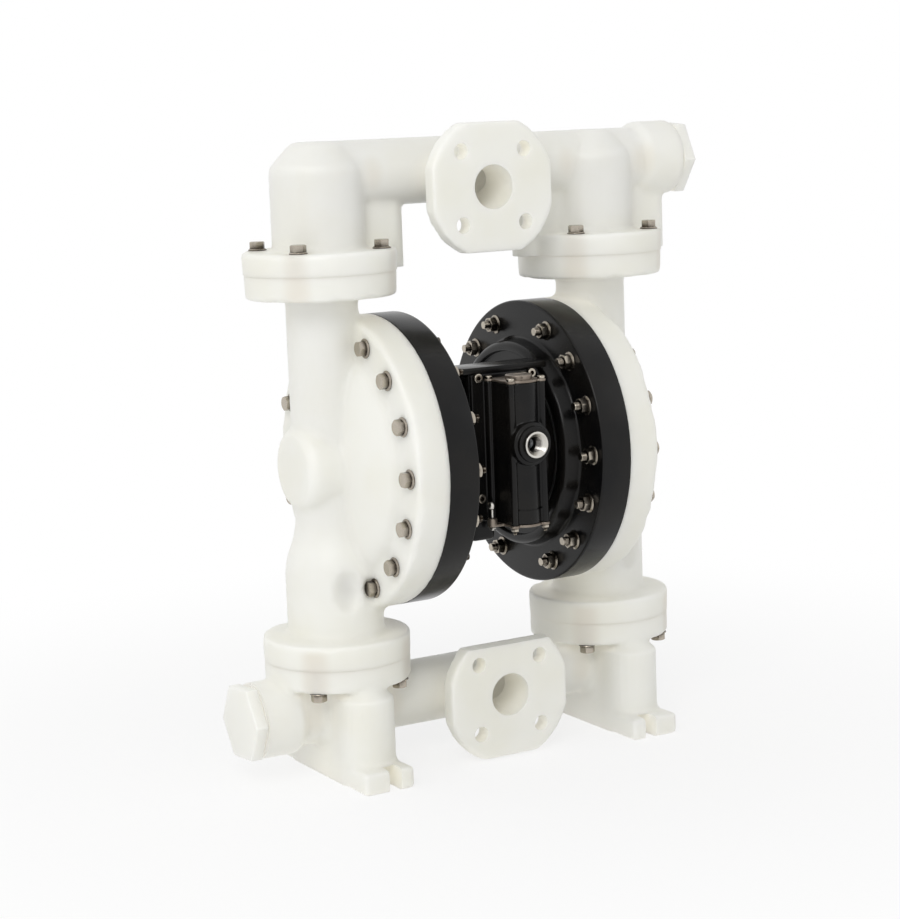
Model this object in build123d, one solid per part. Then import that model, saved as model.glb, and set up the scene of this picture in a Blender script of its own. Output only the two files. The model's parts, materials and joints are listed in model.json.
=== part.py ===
from build123d import *
import os
from math import asin, cos, radians, sin

# Air operated double diaphragm pump with 2 inch flanged ports. All lengths are in millimetres.
# +X runs along the diaphragm shaft to the right cap, -Y is the front, where both ports face,
# and +Z is up. The origin lies on the floor, under the middle of the shaft.

# Main places
column_offset = 188.0           # each fluid column from the middle of the pump
port_floor_gap = 3.0            # inlet port flange above the floor
lower_joint_rise = 62.5         # lower manifold joints above the inlet pipe
joint_reach = 229.0             # manifold joints above and below the diaphragm shaft
outlet_pipe_rise = 111.0        # outlet pipe above the upper manifold joints
outlet_port_drop = 21.0         # outlet port below its pipe
port_face_reach = 86.5          # both port faces in front of the columns

# Port flanges, drilled as a 2 inch class 150 flange
port_bore_radius = 26.0
port_bolt_circle_radius = 60.325
port_bolt_hole_radius = 9.5
port_flange_radius = 85.0
port_flange_half_width = 81.0
port_flange_half_height = 75.5
port_flange_thickness = 22.0
port_neck_radius = 40.0
port_corner_round = 9.0
port_edge_round = 2.0

# Pipes, towers and collars of the manifolds
pipe_radius = 39.0
pipe_bore_radius = 31.0
collar_radius = 45.6
collar_reach = 115.0            # collar's end beyond its column
collar_length = 44.0
collar_taper = 11.0
collar_edge_round = 3.0
tower_radius = 54.5             # ball towers of the outlet manifold
tower_wall = 7.5
tower_chamfer = 27.0
elbow_radius = 52.0             # elbows of the inlet manifold
elbow_bore_radius = 33.0
rib_radius = 20.5               # half-round ribs between tower flange and pipe
rib_setback = 27.0              # rib centre before the collar's end
outlet_flange_radius = 91.0
outlet_flange_thickness = 26.0
inlet_flange_radius = 87.0
inlet_flange_thickness = 27.0
manifold_bolt_circle_radius = 76.0
flange_edge_round = 3.0
flange_root_round = 6.0

# Feet of the inlet manifold
foot_reach = 121.8              # front and back ends of each foot from the column plane
foot_width = 65.0
foot_thickness = 26.0
foot_slot_width = 17.0
foot_slot_depth = 25.0
foot_slot_set_in = 7.0          # slots nearer the middle of the pump than their column
foot_corner_round = 6.0
leg_centre_reach = 69.0         # centre of each half-round leg end
leg_top_chamfer = 12.0

# Rims of the caps, from the diaphragm's chamber outwards
chamber_radius = 128.0
bead_reach = 14.0               # diaphragm's edge outside the chamber
bolt_circle_step = 11.0         # bolt circle outside the diaphragm's edge
cap_rim_width = 21.7            # caps' edge outside the bolt circle

# Fluid caps
cap_joint_x = 124.0             # plane where each diaphragm is clamped
fluid_rim_thickness = 40.0
cap_flange_radius = 88.0
cap_flange_thickness = 29.0
neck_radius = 42.5
neck_bore_radius = 34.0
ball_neck_radius = 57.5
ball_chamber_radius = 44.0
shoulder_bottom = 114.0         # ball chamber shoulder below the shaft, lower end
shoulder_top = 76.0             # and upper end
shoulder_round = 20.0
ball_chamber_top = 100.0        # top of the ball chamber below the shaft
dome_setback = 18.0             # dome's edge inside the bolt circle
dome_rise = 19.0
boss_radius = 44.0
boss_stand = 1.0                # boss face proud of the neck
boss_round = 4.0
rim_round = 3.0
chamber_wall_depth = 8.0        # straight part of the chamber's side
chamber_depth = 52.0

# Air caps
air_rim_thickness = 40.0
hub_height = 22.0
hub_setback = 24.0              # hub's foot inside the bolt circle
hub_draft = 4.0
hub_round = 6.0
hub_root_round = 4.0
hub_lip_width = 11.0
hub_recess_depth = 6.0
bulkhead_thickness = 12.0
air_chamber_draft = 16.0

# Cap bolts and nuts
cap_bolt_places = 16            # equal places, with the top and bottom ones left out
bolt_radius = 5.0
bolt_clearance = 0.5
bolt_flange_radius = 11.8
bolt_pocket_gap = 0.5           # round the bolt heads beside the lower neck
bolt_pocket_height = 60.0
bolt_flange_thickness = 2.5
bolt_hex_radius = 9.6
bolt_hex_height = 8.0
nut_hex_height = 8.5
bolt_tip_length = 7.0
thread_gap = 0.1
manifold_bolt_flange_radius = 11.0
insert_radius = 8.0
insert_length = 22.0

# Check balls, seats and seat rings
ball_radius = 31.75
ball_lift = 14.0
ball_gap = 0.3                  # ball above its seat at rest
guide_gap = 1.2
seat_radius = 53.0
seat_thickness = 12.0
seat_bore_radius = 21.0
seat_chamfer = 6.0
seat_ring_section = 2.05
seat_ring_radius = 46.0
seat_groove_width = 4.4
seat_groove_depth = 4.2
seat_fit = 0.1
cage_rib_width = 7.0
cage_stop_thickness = 8.0
cage_stop_reach = 20.0          # inner end of the stops from the ball's axis

# Diaphragms, plates and shaft
diaphragm_thickness = 4.0
bead_width = 8.0
bead_thickness = 8.0
convolution_width = 43.0
convolution_rise = 12.0
inner_plate_thickness = 12.0
outer_plate_thickness = 14.0
outer_plate_edge = 6.0
outer_plate_flat_radius = 30.0
plate_round = 2.5
shaft_radius = 12.5
spigot_radius = 10.0
plate_nut_hex_radius = 17.0
plate_nut_height = 10.0
spigot_stand = 2.0
shaft_stroke = 20.0             # to each side of the middle
bush_radius = 18.0
bush_length = 26.0
running_gap = 0.05
seal_radius = 18.0
seal_width = 6.0
seal_gap = 0.3
shaft_clearance = 1.0

# Pilot rod
pilot_rod_radius = 5.0
pilot_rod_rise = 34.0           # above the shaft
pilot_rod_stroke = 4.0          # to each side
pilot_touch_gap = 0.3
pilot_bush_radius = 9.0

# Screws between the centre body and the air caps
hub_screw_circle_radius = 54.0
hub_screw_count = 6
hub_screw_radius = 4.0
hub_screw_head_radius = 6.5
hub_screw_head_height = 7.0
hub_screw_grip = 30.0
hub_gasket_thickness = 1.0
hub_gasket_inner_radius = 64.0

# Centre body
pad_gap = 14.0                  # round the pads, inside the hubs
pad_thickness = 16.0
pad_step = 22.0                 # pads' edge outside the barrel
waist_half_width = 46.0
waist_wall = 10.0               # front wall round the barrel
waist_back = 80.0
waist_top = 102.5               # front wall above the shaft
waist_shoulder = 62.0           # block behind the front wall, above the shaft
waist_bottom = 80.0             # below the shaft
waist_round = 5.0
roof_thickness = 7.5
roof_depth = 38.0
roof_overhang = 4.0             # in front of the wall
roof_groove_drop = 3.0          # groove along the roof's front, below its top
roof_groove = 1.0
roof_gap = 0.5                  # between the roof's ends and the hubs
lug_bottom = 98.0               # below the shaft
lug_inner = 14.0                # its side nearest the middle
lug_depth = 34.0
lug_round = 8.0
exhaust_boss_radius = 24.0
exhaust_boss_length = 24.0
exhaust_bore_radius = 12.1
exhaust_thread_length = 22.0

# Air valve
valve_gasket_thickness = 1.5
valve_flange_half_width = 45.0
valve_flange_thickness = 4.5
valve_flange_top = 102.0        # above the shaft
valve_half_width = 22.5
valve_depth = 50.5
valve_top = 94.0                # above the shaft
valve_bottom = 73.0             # below the shaft
valve_edge_round = 2.0
housing_radius = 22.0
housing_reach = 38.0            # spool axis in front of the gasket
spool_step = 56.0               # groove round the housing, below the shaft
spool_step_depth = 1.2
spool_step_height = 2.0
screw_column_radius = 4.5       # half-round columns that hold the cap screws
front_column_spread = 21.0      # columns to each side of the middle
back_column_spread = 24.0
front_column_reach = 53.5       # columns in front of the gasket
back_column_reach = 9.5
valve_cap_thickness = 3.0
valve_cap_overhang = 1.0
valve_cap_gap = 0.2             # to the flange behind
valve_screw_radius = 2.5
valve_screw_length = 16.0
valve_screw_head_radius = 4.6
valve_screw_head_height = 3.5
valve_screw_tip = 4.0           # threaded ends under the lower nuts
mount_screw_offset = 37.0       # screws that hold the valve, to each side of the middle
mount_screw_top = 98.0          # upper pair above the shaft
mount_screw_bottom = 45.0       # lower pair below it
mount_screw_radius = 3.0
mount_screw_length = 18.0
mount_screw_head_radius = 5.5
mount_screw_head_height = 5.0
valve_cap_button_radius = 16.0
valve_cap_button_height = 5.5
button_hole_radius = 1.8
button_hole_angle = 249.0       # degrees from +X, seen from above
button_hole_depth = 3.0
inlet_boss_radius = 25.7
inlet_boss_rise = 22.8          # above the shaft
inlet_boss_face = 155.0         # in front of the column plane
inlet_boss_length = 25.0
inlet_collar_radius = 21.5
inlet_collar_stand = 5.0        # in front of the boss
inlet_insert_radius = 16.5
inlet_insert_length = 18.0
inlet_insert_stand = 4.0        # in front of the collar
inlet_thread_radius = 9.3
inlet_mouth_radius = 13.5
inlet_mouth_depth = 5.0
inlet_passage_radius = 7.0
sleeve_radius = 17.0
sleeve_bore_radius = 12.5
sleeve_end_gap = 8.0            # between the sleeve's ends and the valve caps
spool_length = 120.0
spool_waist_radius = 8.0
spool_land_length = 20.0
spool_lift = 14.0
spool_rest_gap = 0.3
spool_groove_depth = 2.0
spool_groove_width = 2.6

# Reset pin beside the valve
pin_radius = 2.5
pin_ball_radius = 5.0
pin_offset = 35.0               # to the left of the middle
pin_front = 26.0                # in front of the gasket
pin_ball_drop = 51.0            # ball centre below the shaft
pin_gap = 0.1
pin_clip_radius = 4.6
pin_clip_thickness = 2.0
pin_clip_gap = 0.3
pin_boss_radius = 6.0
pin_boss_height = 7.0
pin_tail = 2.0

# Blanking plugs
plug_flat_to_flat = 84.0
plug_head_length = 17.7
plug_gasket_thickness = 2.0
plug_thread_radius = 33.0
plug_thread_length = 30.0
plug_thread_gap = 0.1
plug_turn = 4.0                 # degrees that each hexagon stands turned
plug_edge_chamfer = 1.5

# Places that follow from the sizes above
inlet_pipe_height = port_flange_half_height + port_floor_gap
lower_joint = inlet_pipe_height + lower_joint_rise
shaft_height = lower_joint + joint_reach
upper_joint = shaft_height + joint_reach
outlet_pipe_height = upper_joint + outlet_pipe_rise
outlet_port_height = outlet_pipe_height - outlet_port_drop
air_rim_x = cap_joint_x - air_rim_thickness
hub_x = air_rim_x - hub_height
fluid_rim_x = cap_joint_x + fluid_rim_thickness
bulkhead_x = hub_x + hub_recess_depth
air_floor_x = bulkhead_x + bulkhead_thickness
pad_x = bulkhead_x - hub_gasket_thickness
collar_end = column_offset + collar_reach
rib_offset = collar_reach - rib_setback
bead_radius = chamber_radius + bead_reach
cap_bolt_circle_radius = bead_radius + bolt_circle_step
cap_radius = cap_bolt_circle_radius + cap_rim_width
dome_radius = cap_bolt_circle_radius - dome_setback
hub_base_radius = cap_bolt_circle_radius - hub_setback
hub_top_radius = hub_base_radius - hub_draft
hub_recess_radius = hub_top_radius - hub_lip_width
pad_radius = hub_recess_radius - pad_gap
barrel_radius = pad_radius - pad_step
waist_front = barrel_radius + waist_wall
plate_radius = chamber_radius - convolution_width
air_chamber_floor_radius = chamber_radius - air_chamber_draft
valve_back_y = -(waist_front + valve_gasket_thickness)
valve_flange_y = valve_back_y - valve_flange_thickness
mount_screw_end = valve_flange_y + mount_screw_length
spool_y = valve_back_y - housing_reach
inlet_boss_z = shaft_height + inlet_boss_rise
inlet_collar_face = inlet_boss_face + inlet_collar_stand
seat_to_ball = ball_gap * 2 ** 0.5 + ball_radius * 2 ** 0.5 - seat_bore_radius - seat_chamfer
inlet_ball_height = lower_joint + seat_thickness + seat_to_ball
outlet_ball_height = upper_joint + seat_thickness + seat_to_ball
tower_top = outlet_pipe_height + pipe_radius
diagonals = (45, 135, 225, 315)


# Cylinders along each axis, between two places on it
def rod_x(radius, start, end, y=0.0, z=shaft_height):
    return Pos((start + end) / 2, y, z) * Rot(0, 90, 0) * Cylinder(radius, abs(end - start))


def rod_y(radius, start, end, x=0.0, z=shaft_height):
    return Pos(x, (start + end) / 2, z) * Rot(90, 0, 0) * Cylinder(radius, abs(end - start))


def rod_z(radius, start, end, x=0.0, y=0.0):
    return Pos(x, y, (start + end) / 2) * Cylinder(radius, abs(end - start))


# A block between two opposite corners
def block(x0, x1, y0, y1, z0, z1):
    return Pos((x0 + x1) / 2, (y0 + y1) / 2, (z0 + z1) / 2) * Box(abs(x1 - x0), abs(y1 - y0), abs(z1 - z0))


# A flat face inside straight lines from point to point
def outline(*points):
    return make_face(Polyline(*points, close=True))


# The same face with the corners that lie nearest to the given points rounded
def rounded(face, radius, *corners):
    picked = [face.vertices().sort_by_distance(Vertex(x, y, 0))[0] for x, y in corners]
    return fillet(picked, radius)


# A face under a shallow round crown, from its flat base to its top on the axis
def crown(base, top, radius):
    rise = top - base
    ball = (radius ** 2 + rise ** 2) / (2 * abs(rise))
    side = 1 if rise > 0 else -1
    half_angle = asin(radius / ball) / 2
    middle = (top - side * ball * (1 - cos(half_angle)), ball * sin(half_angle))
    arc = ThreePointArc((base, radius), middle, (top, 0))
    return make_face([Line((base, 0), (base, radius)), arc, Line((top, 0), (base, 0))])


# Profiles of (place along X, radius) turned about a line along X
def turned_x(face, y=0.0, z=shaft_height):
    return Pos(0, y, z) * revolve(Plane.XZ * face, Axis.X)


# Profiles of (radius, height) turned about a line along Z
def turned_z(face, x=0.0, y=0.0):
    return Pos(x, y, 0) * revolve(Plane.XZ * face, Axis.Z)


# Copies on a circle round a line along X
def around_x(shape, radius, angles, z=shaft_height):
    places = [(radius * cos(radians(a)), radius * sin(radians(a))) for a in angles]
    return [Pos(0, y, z + height) * shape for y, height in places]


# Copies on the four bolt places of a round flange about a vertical axis
def around_column(shape, x):
    places = [(cos(radians(a)), sin(radians(a))) for a in diagonals]
    reach = manifold_bolt_circle_radius
    return [Pos(x + reach * along, reach * across, 0) * shape for along, across in places]


def both_sides(shapes):
    return Compound(list(shapes) + [mirror(shape, about=Plane.YZ) for shape in shapes])


cap_bolt_angles = [
    place * 360 / cap_bolt_places
    for place in range(cap_bolt_places)
    if place not in (cap_bolt_places // 4, cap_bolt_places * 3 // 4)
]


# Ribs that guide a check ball, with stops over it
def ball_cage(x, seat_top, wall_radius, ball_height):
    stop_height = ball_height + ball_radius + ball_lift + ball_gap
    guide = ball_radius + guide_gap
    half = cage_rib_width / 2
    cage = []
    for angle in diagonals:
        rib = block(guide, wall_radius, -half, half, seat_top, stop_height)
        stop = block(cage_stop_reach, wall_radius, -half, half, stop_height, stop_height + cage_stop_thickness)
        cage.append(Pos(x, 0, 0) * Rot(0, 0, angle) * (rib + stop))
    return cage


# A port flange with its neck, facing the front
def port_flange(height):
    disc = Circle(port_flange_radius) & Rectangle(2 * port_flange_half_width, 2 * port_flange_half_height)
    disc = fillet(disc.vertices(), port_corner_round)
    plate = extrude(Plane.XZ * disc, port_flange_thickness)
    plate = fillet(plate.faces().sort_by(Axis.Y)[0].edges(), port_edge_round)
    plate = Pos(0, port_flange_thickness - port_face_reach, height) * plate
    return plate + rod_y(port_neck_radius, port_flange_thickness - port_face_reach, 0, z=height)


def port_holes(height):
    back = port_flange_thickness - port_face_reach
    reach = port_bolt_circle_radius
    holes = [
        rod_y(
            port_bolt_hole_radius, -port_face_reach, back,
            reach * cos(radians(a)), height + reach * sin(radians(a)),
        )
        for a in diagonals
    ]
    return holes + [rod_y(port_bore_radius, -port_face_reach, 0, z=height)]


# Pipe profile that swells into the plug's collar at its right end
def pipe_with_collar(start):
    collar_start = collar_end - collar_length
    face = outline(
        (start, 0),
        (start, pipe_radius),
        (collar_start - collar_taper, pipe_radius),
        (collar_start, collar_radius),
        (collar_end, collar_radius),
        (collar_end, 0),
    )
    return rounded(face, collar_edge_round, (collar_start, collar_radius), (collar_end, collar_radius))


def outlet_manifold():
    flange_top = upper_joint + outlet_flange_thickness
    tower = outline(
        (0, upper_joint),
        (outlet_flange_radius, upper_joint),
        (outlet_flange_radius, flange_top),
        (tower_radius, flange_top),
        (tower_radius, tower_top - tower_chamfer),
        (tower_radius - tower_chamfer, tower_top),
        (0, tower_top),
    )
    tower = rounded(tower, flange_edge_round, (outlet_flange_radius, flange_top))
    tower = rounded(tower, flange_root_round, (tower_radius, flange_top))
    tower = rounded(tower, flange_root_round, (tower_radius, tower_top - tower_chamfer))
    tower = rounded(tower, flange_root_round, (tower_radius - tower_chamfer, tower_top))
    body = turned_x(pipe_with_collar(-column_offset), z=outlet_pipe_height)
    for side in (-1, 1):
        body += turned_z(tower, side * column_offset)
    for centre, reach in ((-column_offset, 1), (column_offset, -1), (column_offset, 1)):
        rib = rod_z(rib_radius, flange_top, outlet_pipe_height, centre + reach * rib_offset)
        rib += block(
            centre, centre + reach * rib_offset, -rib_radius, rib_radius, flange_top, outlet_pipe_height
        )
        body += rib
    body += port_flange(outlet_port_height)

    chamber_radius_inside = tower_radius - tower_wall
    chamber_top = tower_top - tower_wall
    chamber = outline(
        (0, upper_joint + seat_thickness),
        (chamber_radius_inside, upper_joint + seat_thickness),
        (chamber_radius_inside, chamber_top - tower_chamfer),
        (chamber_radius_inside - tower_chamfer, chamber_top),
        (0, chamber_top),
    )
    cuts = [
        rod_x(pipe_bore_radius, -column_offset, collar_end, z=outlet_pipe_height),
        rod_x(plug_thread_radius, collar_end - plug_thread_length, collar_end, z=outlet_pipe_height),
    ]
    cuts += port_holes(outlet_port_height)
    hole = rod_z(bolt_radius + bolt_clearance, upper_joint, flange_top)
    for side in (-1, 1):
        cuts.append(turned_z(chamber, side * column_offset))
        cuts.append(
            rod_z(seat_radius + seat_fit, upper_joint, upper_joint + seat_thickness, side * column_offset)
        )
        cuts += around_column(hole, side * column_offset)
    body -= cuts
    for side in (-1, 1):
        body += ball_cage(
            side * column_offset, upper_joint + seat_thickness, tower_radius - tower_wall / 2, outlet_ball_height
        )
    return body


# The foot of one side with its open slots and its half-round leg ends, centred on its column
def foot(side):
    plate = Rectangle(foot_width, 2 * foot_reach)
    plate = fillet(plate.vertices(), foot_corner_round)
    slot_end = foot_reach - foot_slot_depth
    slot_x = -side * foot_slot_set_in
    for end in (-1, 1):
        opening = Rectangle(foot_slot_width, foot_reach - slot_end)
        plate -= Pos(slot_x, end * (slot_end + foot_reach) / 2) * opening
        plate -= Pos(slot_x, end * slot_end) * Circle(foot_slot_width / 2)
    top = lower_joint - inlet_flange_thickness
    leg = extrude(SlotCenterToCenter(2 * leg_centre_reach, foot_width, rotation=90), top)
    leg = chamfer(leg.edges().group_by(Axis.Z)[-1], leg_top_chamfer)
    for end in (-1, 1):
        slot = block(
            slot_x - foot_slot_width / 2,
            slot_x + foot_slot_width / 2,
            end * slot_end,
            end * foot_reach,
            0,
            foot_thickness,
        )
        leg -= slot + rod_z(foot_slot_width / 2, 0, foot_thickness, slot_x, end * slot_end)
    return extrude(plate, foot_thickness) + leg


def inlet_manifold():
    flange_bottom = lower_joint - inlet_flange_thickness
    elbow = outline(
        (0, foot_thickness),
        (elbow_radius, foot_thickness + elbow_radius / 2),
        (elbow_radius, flange_bottom),
        (inlet_flange_radius, flange_bottom),
        (inlet_flange_radius, lower_joint),
        (0, lower_joint),
    )
    elbow = rounded(elbow, flange_edge_round, (inlet_flange_radius, flange_bottom))
    elbow = rounded(elbow, flange_root_round, (elbow_radius, flange_bottom))
    elbow = rounded(elbow, shoulder_round, (elbow_radius, foot_thickness + elbow_radius / 2))
    body = mirror(turned_x(pipe_with_collar(-column_offset), z=inlet_pipe_height), about=Plane.YZ)
    for side in (-1, 1):
        body += turned_z(elbow, side * column_offset)
        body += Pos(side * column_offset, 0, 0) * foot(side)
    body += port_flange(inlet_pipe_height)

    cuts = [
        rod_x(pipe_bore_radius, -collar_end, column_offset + pipe_bore_radius, z=inlet_pipe_height),
        rod_x(plug_thread_radius, -collar_end, plug_thread_length - collar_end, z=inlet_pipe_height),
    ]
    cuts += port_holes(inlet_pipe_height)
    hole = rod_z(bolt_radius + bolt_clearance, flange_bottom, lower_joint)
    for side in (-1, 1):
        cuts.append(rod_z(elbow_bore_radius, inlet_pipe_height, lower_joint, side * column_offset))
        cuts += around_column(hole, side * column_offset)
    return body - cuts


# Hexagon plug screwed into the right end of a pipe
def blanking_plug(height):
    head_start = collar_end + plug_gasket_thickness
    hexagon = RegularPolygon(plug_flat_to_flat / 2, 6, major_radius=False, rotation=plug_turn)
    head = Pos(head_start, 0, height) * extrude(Plane.YZ * hexagon, plug_head_length - plug_gasket_thickness)
    head = chamfer(head.faces().sort_by(Axis.X)[-1].edges(), plug_edge_chamfer)
    thread = rod_x(
        plug_thread_radius - plug_thread_gap, collar_end - plug_thread_length, head_start, z=height
    )
    bore = rod_x(pipe_bore_radius - tower_wall, collar_end - plug_thread_length, collar_end, z=height)
    return head + thread - bore


def plug_gasket(height):
    outer = rod_x(collar_radius - collar_edge_round, collar_end, collar_end + plug_gasket_thickness, z=height)
    return outer - rod_x(plug_thread_radius, collar_end, collar_end + plug_gasket_thickness, z=height)


# Room for the diaphragm's rim between the two caps
def diaphragm_seat():
    half = diaphragm_thickness / 2
    web = rod_x(bead_radius, cap_joint_x - half, cap_joint_x + half)
    bead = rod_x(bead_radius, cap_joint_x - bead_thickness / 2, cap_joint_x + bead_thickness / 2)
    bead -= rod_x(bead_radius - bead_width, cap_joint_x - bead_thickness, cap_joint_x + bead_thickness)
    return web + bead


def fluid_cap():
    disc = outline(
        (cap_joint_x, 0), (cap_joint_x, cap_radius), (fluid_rim_x, cap_radius), (fluid_rim_x, 0)
    )
    body = turned_x(rounded(disc, rim_round, (fluid_rim_x, cap_radius)))
    body += turned_x(crown(fluid_rim_x, fluid_rim_x + dome_rise, dome_radius))
    upper_root = upper_joint - cap_flange_thickness
    lower_root = lower_joint + cap_flange_thickness
    shoulder_low = shaft_height - shoulder_bottom
    shoulder_high = shaft_height - shoulder_top
    column = outline(
        (0, lower_joint),
        (cap_flange_radius, lower_joint),
        (cap_flange_radius, lower_root),
        (ball_neck_radius, lower_root),
        (ball_neck_radius, shoulder_low),
        (neck_radius, shoulder_high),
        (neck_radius, upper_root),
        (cap_flange_radius, upper_root),
        (cap_flange_radius, upper_joint),
        (0, upper_joint),
    )
    column = rounded(
        column, flange_edge_round, (cap_flange_radius, lower_root), (cap_flange_radius, upper_root)
    )
    column = rounded(column, flange_root_round, (ball_neck_radius, lower_root), (neck_radius, upper_root))
    column = rounded(column, shoulder_round, (ball_neck_radius, shoulder_low), (neck_radius, shoulder_high))
    body += turned_z(column, column_offset)
    boss_face = column_offset + neck_radius + boss_stand
    boss = outline((fluid_rim_x, 0), (fluid_rim_x, boss_radius), (boss_face, boss_radius), (boss_face, 0))
    body += turned_x(rounded(boss, boss_round, (boss_face, boss_radius)))

    chamber_base = cap_joint_x + chamber_wall_depth
    chamber_top = shaft_height - ball_chamber_top
    ball_room = outline(
        (0, lower_joint + seat_thickness),
        (ball_chamber_radius, lower_joint + seat_thickness),
        (ball_chamber_radius, shoulder_low),
        (neck_bore_radius, chamber_top),
        (0, chamber_top),
    )
    cuts = [
        turned_x(crown(chamber_base, cap_joint_x + chamber_depth, chamber_radius)),
        rod_x(chamber_radius, cap_joint_x, chamber_base),
        rod_z(neck_bore_radius, chamber_top, upper_joint, column_offset),
        turned_z(ball_room, column_offset),
        rod_z(seat_radius + seat_fit, lower_joint, lower_joint + seat_thickness, column_offset),
        diaphragm_seat(),
    ]
    cuts += around_x(
        rod_x(bolt_radius + bolt_clearance, cap_joint_x, fluid_rim_x, z=0),
        cap_bolt_circle_radius,
        cap_bolt_angles,
    )
    pocket_radius = bolt_flange_radius + bolt_pocket_gap
    cuts += around_x(
        rod_x(pocket_radius, fluid_rim_x, fluid_rim_x + bolt_pocket_height, z=0),
        cap_bolt_circle_radius,
        [angle for angle in cap_bolt_angles if angle > 180],
    )
    insert_hole = rod_z(insert_radius, 0, insert_length)
    cuts += [Pos(0, 0, upper_joint - insert_length) * hole for hole in around_column(insert_hole, column_offset)]
    cuts += [Pos(0, 0, lower_joint) * hole for hole in around_column(insert_hole, column_offset)]
    body -= cuts
    wall = (ball_chamber_radius + ball_neck_radius) / 2
    return body + ball_cage(column_offset, lower_joint + seat_thickness, wall, inlet_ball_height)


def air_cap():
    shell = outline(
        (cap_joint_x, chamber_radius),
        (cap_joint_x, cap_radius),
        (air_rim_x, cap_radius),
        (air_rim_x, hub_base_radius),
        (hub_x, hub_top_radius),
        (hub_x, hub_recess_radius),
        (bulkhead_x, hub_recess_radius),
        (bulkhead_x, 0),
        (air_floor_x, 0),
        (air_floor_x, air_chamber_floor_radius),
    )
    shell = rounded(shell, rim_round, (air_rim_x, cap_radius))
    shell = rounded(shell, hub_root_round, (air_rim_x, hub_base_radius))
    shell = rounded(shell, hub_round, (hub_x, hub_top_radius))
    body = turned_x(shell)
    cuts = [
        diaphragm_seat(),
        rod_x(shaft_radius + shaft_clearance, bulkhead_x, air_floor_x),
        rod_x(seal_radius, bulkhead_x, bulkhead_x + seal_width),
        rod_x(pilot_bush_radius, bulkhead_x, air_floor_x, z=shaft_height + pilot_rod_rise),
    ]
    cuts += around_x(
        rod_x(bolt_radius + bolt_clearance, air_rim_x, cap_joint_x, z=0),
        cap_bolt_circle_radius,
        cap_bolt_angles,
    )
    cuts += around_x(
        rod_x(hub_screw_radius + bolt_clearance, bulkhead_x, air_floor_x, z=0),
        hub_screw_circle_radius,
        hub_screw_angles(),
    )
    return body - cuts


def hub_screw_angles():
    return [place * 360 / hub_screw_count for place in range(hub_screw_count)]


# Hexagon flange bolt that lies along -X, with the seat of its head at the origin
def flange_bolt(length, flange_radius):
    hexagon = RegularPolygon(bolt_hex_radius, 6)
    head = extrude(Plane.YZ * hexagon, bolt_flange_thickness + bolt_hex_height)
    collar = rod_x(flange_radius, 0, bolt_flange_thickness, z=0)
    return head + collar + rod_x(bolt_radius, -length, 0, z=0)


def cap_bolts():
    length = fluid_rim_thickness + air_rim_thickness + bolt_flange_thickness + nut_hex_height + bolt_tip_length
    bolt = Pos(fluid_rim_x, 0, 0) * flange_bolt(length, bolt_flange_radius)
    return around_x(bolt, cap_bolt_circle_radius, cap_bolt_angles)


def cap_nuts():
    hexagon = RegularPolygon(bolt_hex_radius, 6)
    nut_x = air_rim_x - bolt_flange_thickness - nut_hex_height
    nut = Pos(nut_x, 0, 0) * extrude(Plane.YZ * hexagon, nut_hex_height)
    nut += rod_x(bolt_flange_radius, air_rim_x - bolt_flange_thickness, air_rim_x, z=0)
    nut -= rod_x(bolt_radius + thread_gap, nut_x, air_rim_x, z=0)
    return around_x(nut, cap_bolt_circle_radius, cap_bolt_angles)


# Bolts through one manifold's flanges, with their heads above or below
def manifold_bolts(flange_face, joint, upward):
    bolt = flange_bolt(abs(flange_face - joint) + insert_length, manifold_bolt_flange_radius)
    turned = Rot(0, -90 * upward, 0) * bolt
    return [Pos(0, 0, flange_face) * copy for copy in around_column(turned, column_offset)]


def thread_inserts():
    ring = rod_z(insert_radius, 0, insert_length) - rod_z(bolt_radius + thread_gap, 0, insert_length)
    upper = [Pos(0, 0, upper_joint - insert_length) * copy for copy in around_column(ring, column_offset)]
    lower = [Pos(0, 0, lower_joint) * copy for copy in around_column(ring, column_offset)]
    return upper + lower


def ball_seat(joint):
    top = joint + seat_thickness
    face = outline(
        (seat_bore_radius, joint),
        (seat_radius, joint),
        (seat_radius, top),
        (seat_bore_radius + seat_chamfer, top),
        (seat_bore_radius, top - seat_chamfer),
    )
    ring = turned_z(face, column_offset)
    groove = rod_z(seat_ring_radius + seat_groove_width / 2, joint, joint + seat_groove_depth, column_offset)
    groove -= rod_z(seat_ring_radius - seat_groove_width / 2, joint, joint + seat_groove_depth, column_offset)
    return ring - groove


def seat_ring(joint):
    centre = joint + seat_groove_depth / 2
    return Pos(column_offset, 0, centre) * Torus(seat_ring_radius, seat_ring_section)


def diaphragm():
    half = diaphragm_thickness / 2
    thick = bead_thickness / 2
    inside = spigot_radius + thread_gap
    free = chamber_radius
    shoulder = bead_radius - bead_width
    middle = (plate_radius + free) / 2
    left = cap_joint_x - half
    right = cap_joint_x + half
    outer_arc = ThreePointArc((right, plate_radius), (right + convolution_rise, middle), (right, free))
    inner_arc = ThreePointArc((left, free), (left + convolution_rise, middle), (left, plate_radius))
    rim = Polyline(
        (right, free),
        (right, shoulder),
        (cap_joint_x + thick, shoulder),
        (cap_joint_x + thick, bead_radius),
        (cap_joint_x - thick, bead_radius),
        (cap_joint_x - thick, shoulder),
        (left, shoulder),
        (left, free),
    )
    centre = Polyline((left, plate_radius), (left, inside), (right, inside), (right, plate_radius))
    return turned_x(make_face([outer_arc, rim, inner_arc, centre]))


def inner_plate():
    face_x = cap_joint_x - diaphragm_thickness / 2
    back_x = face_x - inner_plate_thickness
    bore = spigot_radius + thread_gap
    face = outline((back_x, bore), (face_x, bore), (face_x, plate_radius), (back_x, plate_radius))
    return turned_x(rounded(face, plate_round, (back_x, plate_radius), (face_x, plate_radius)))


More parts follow.
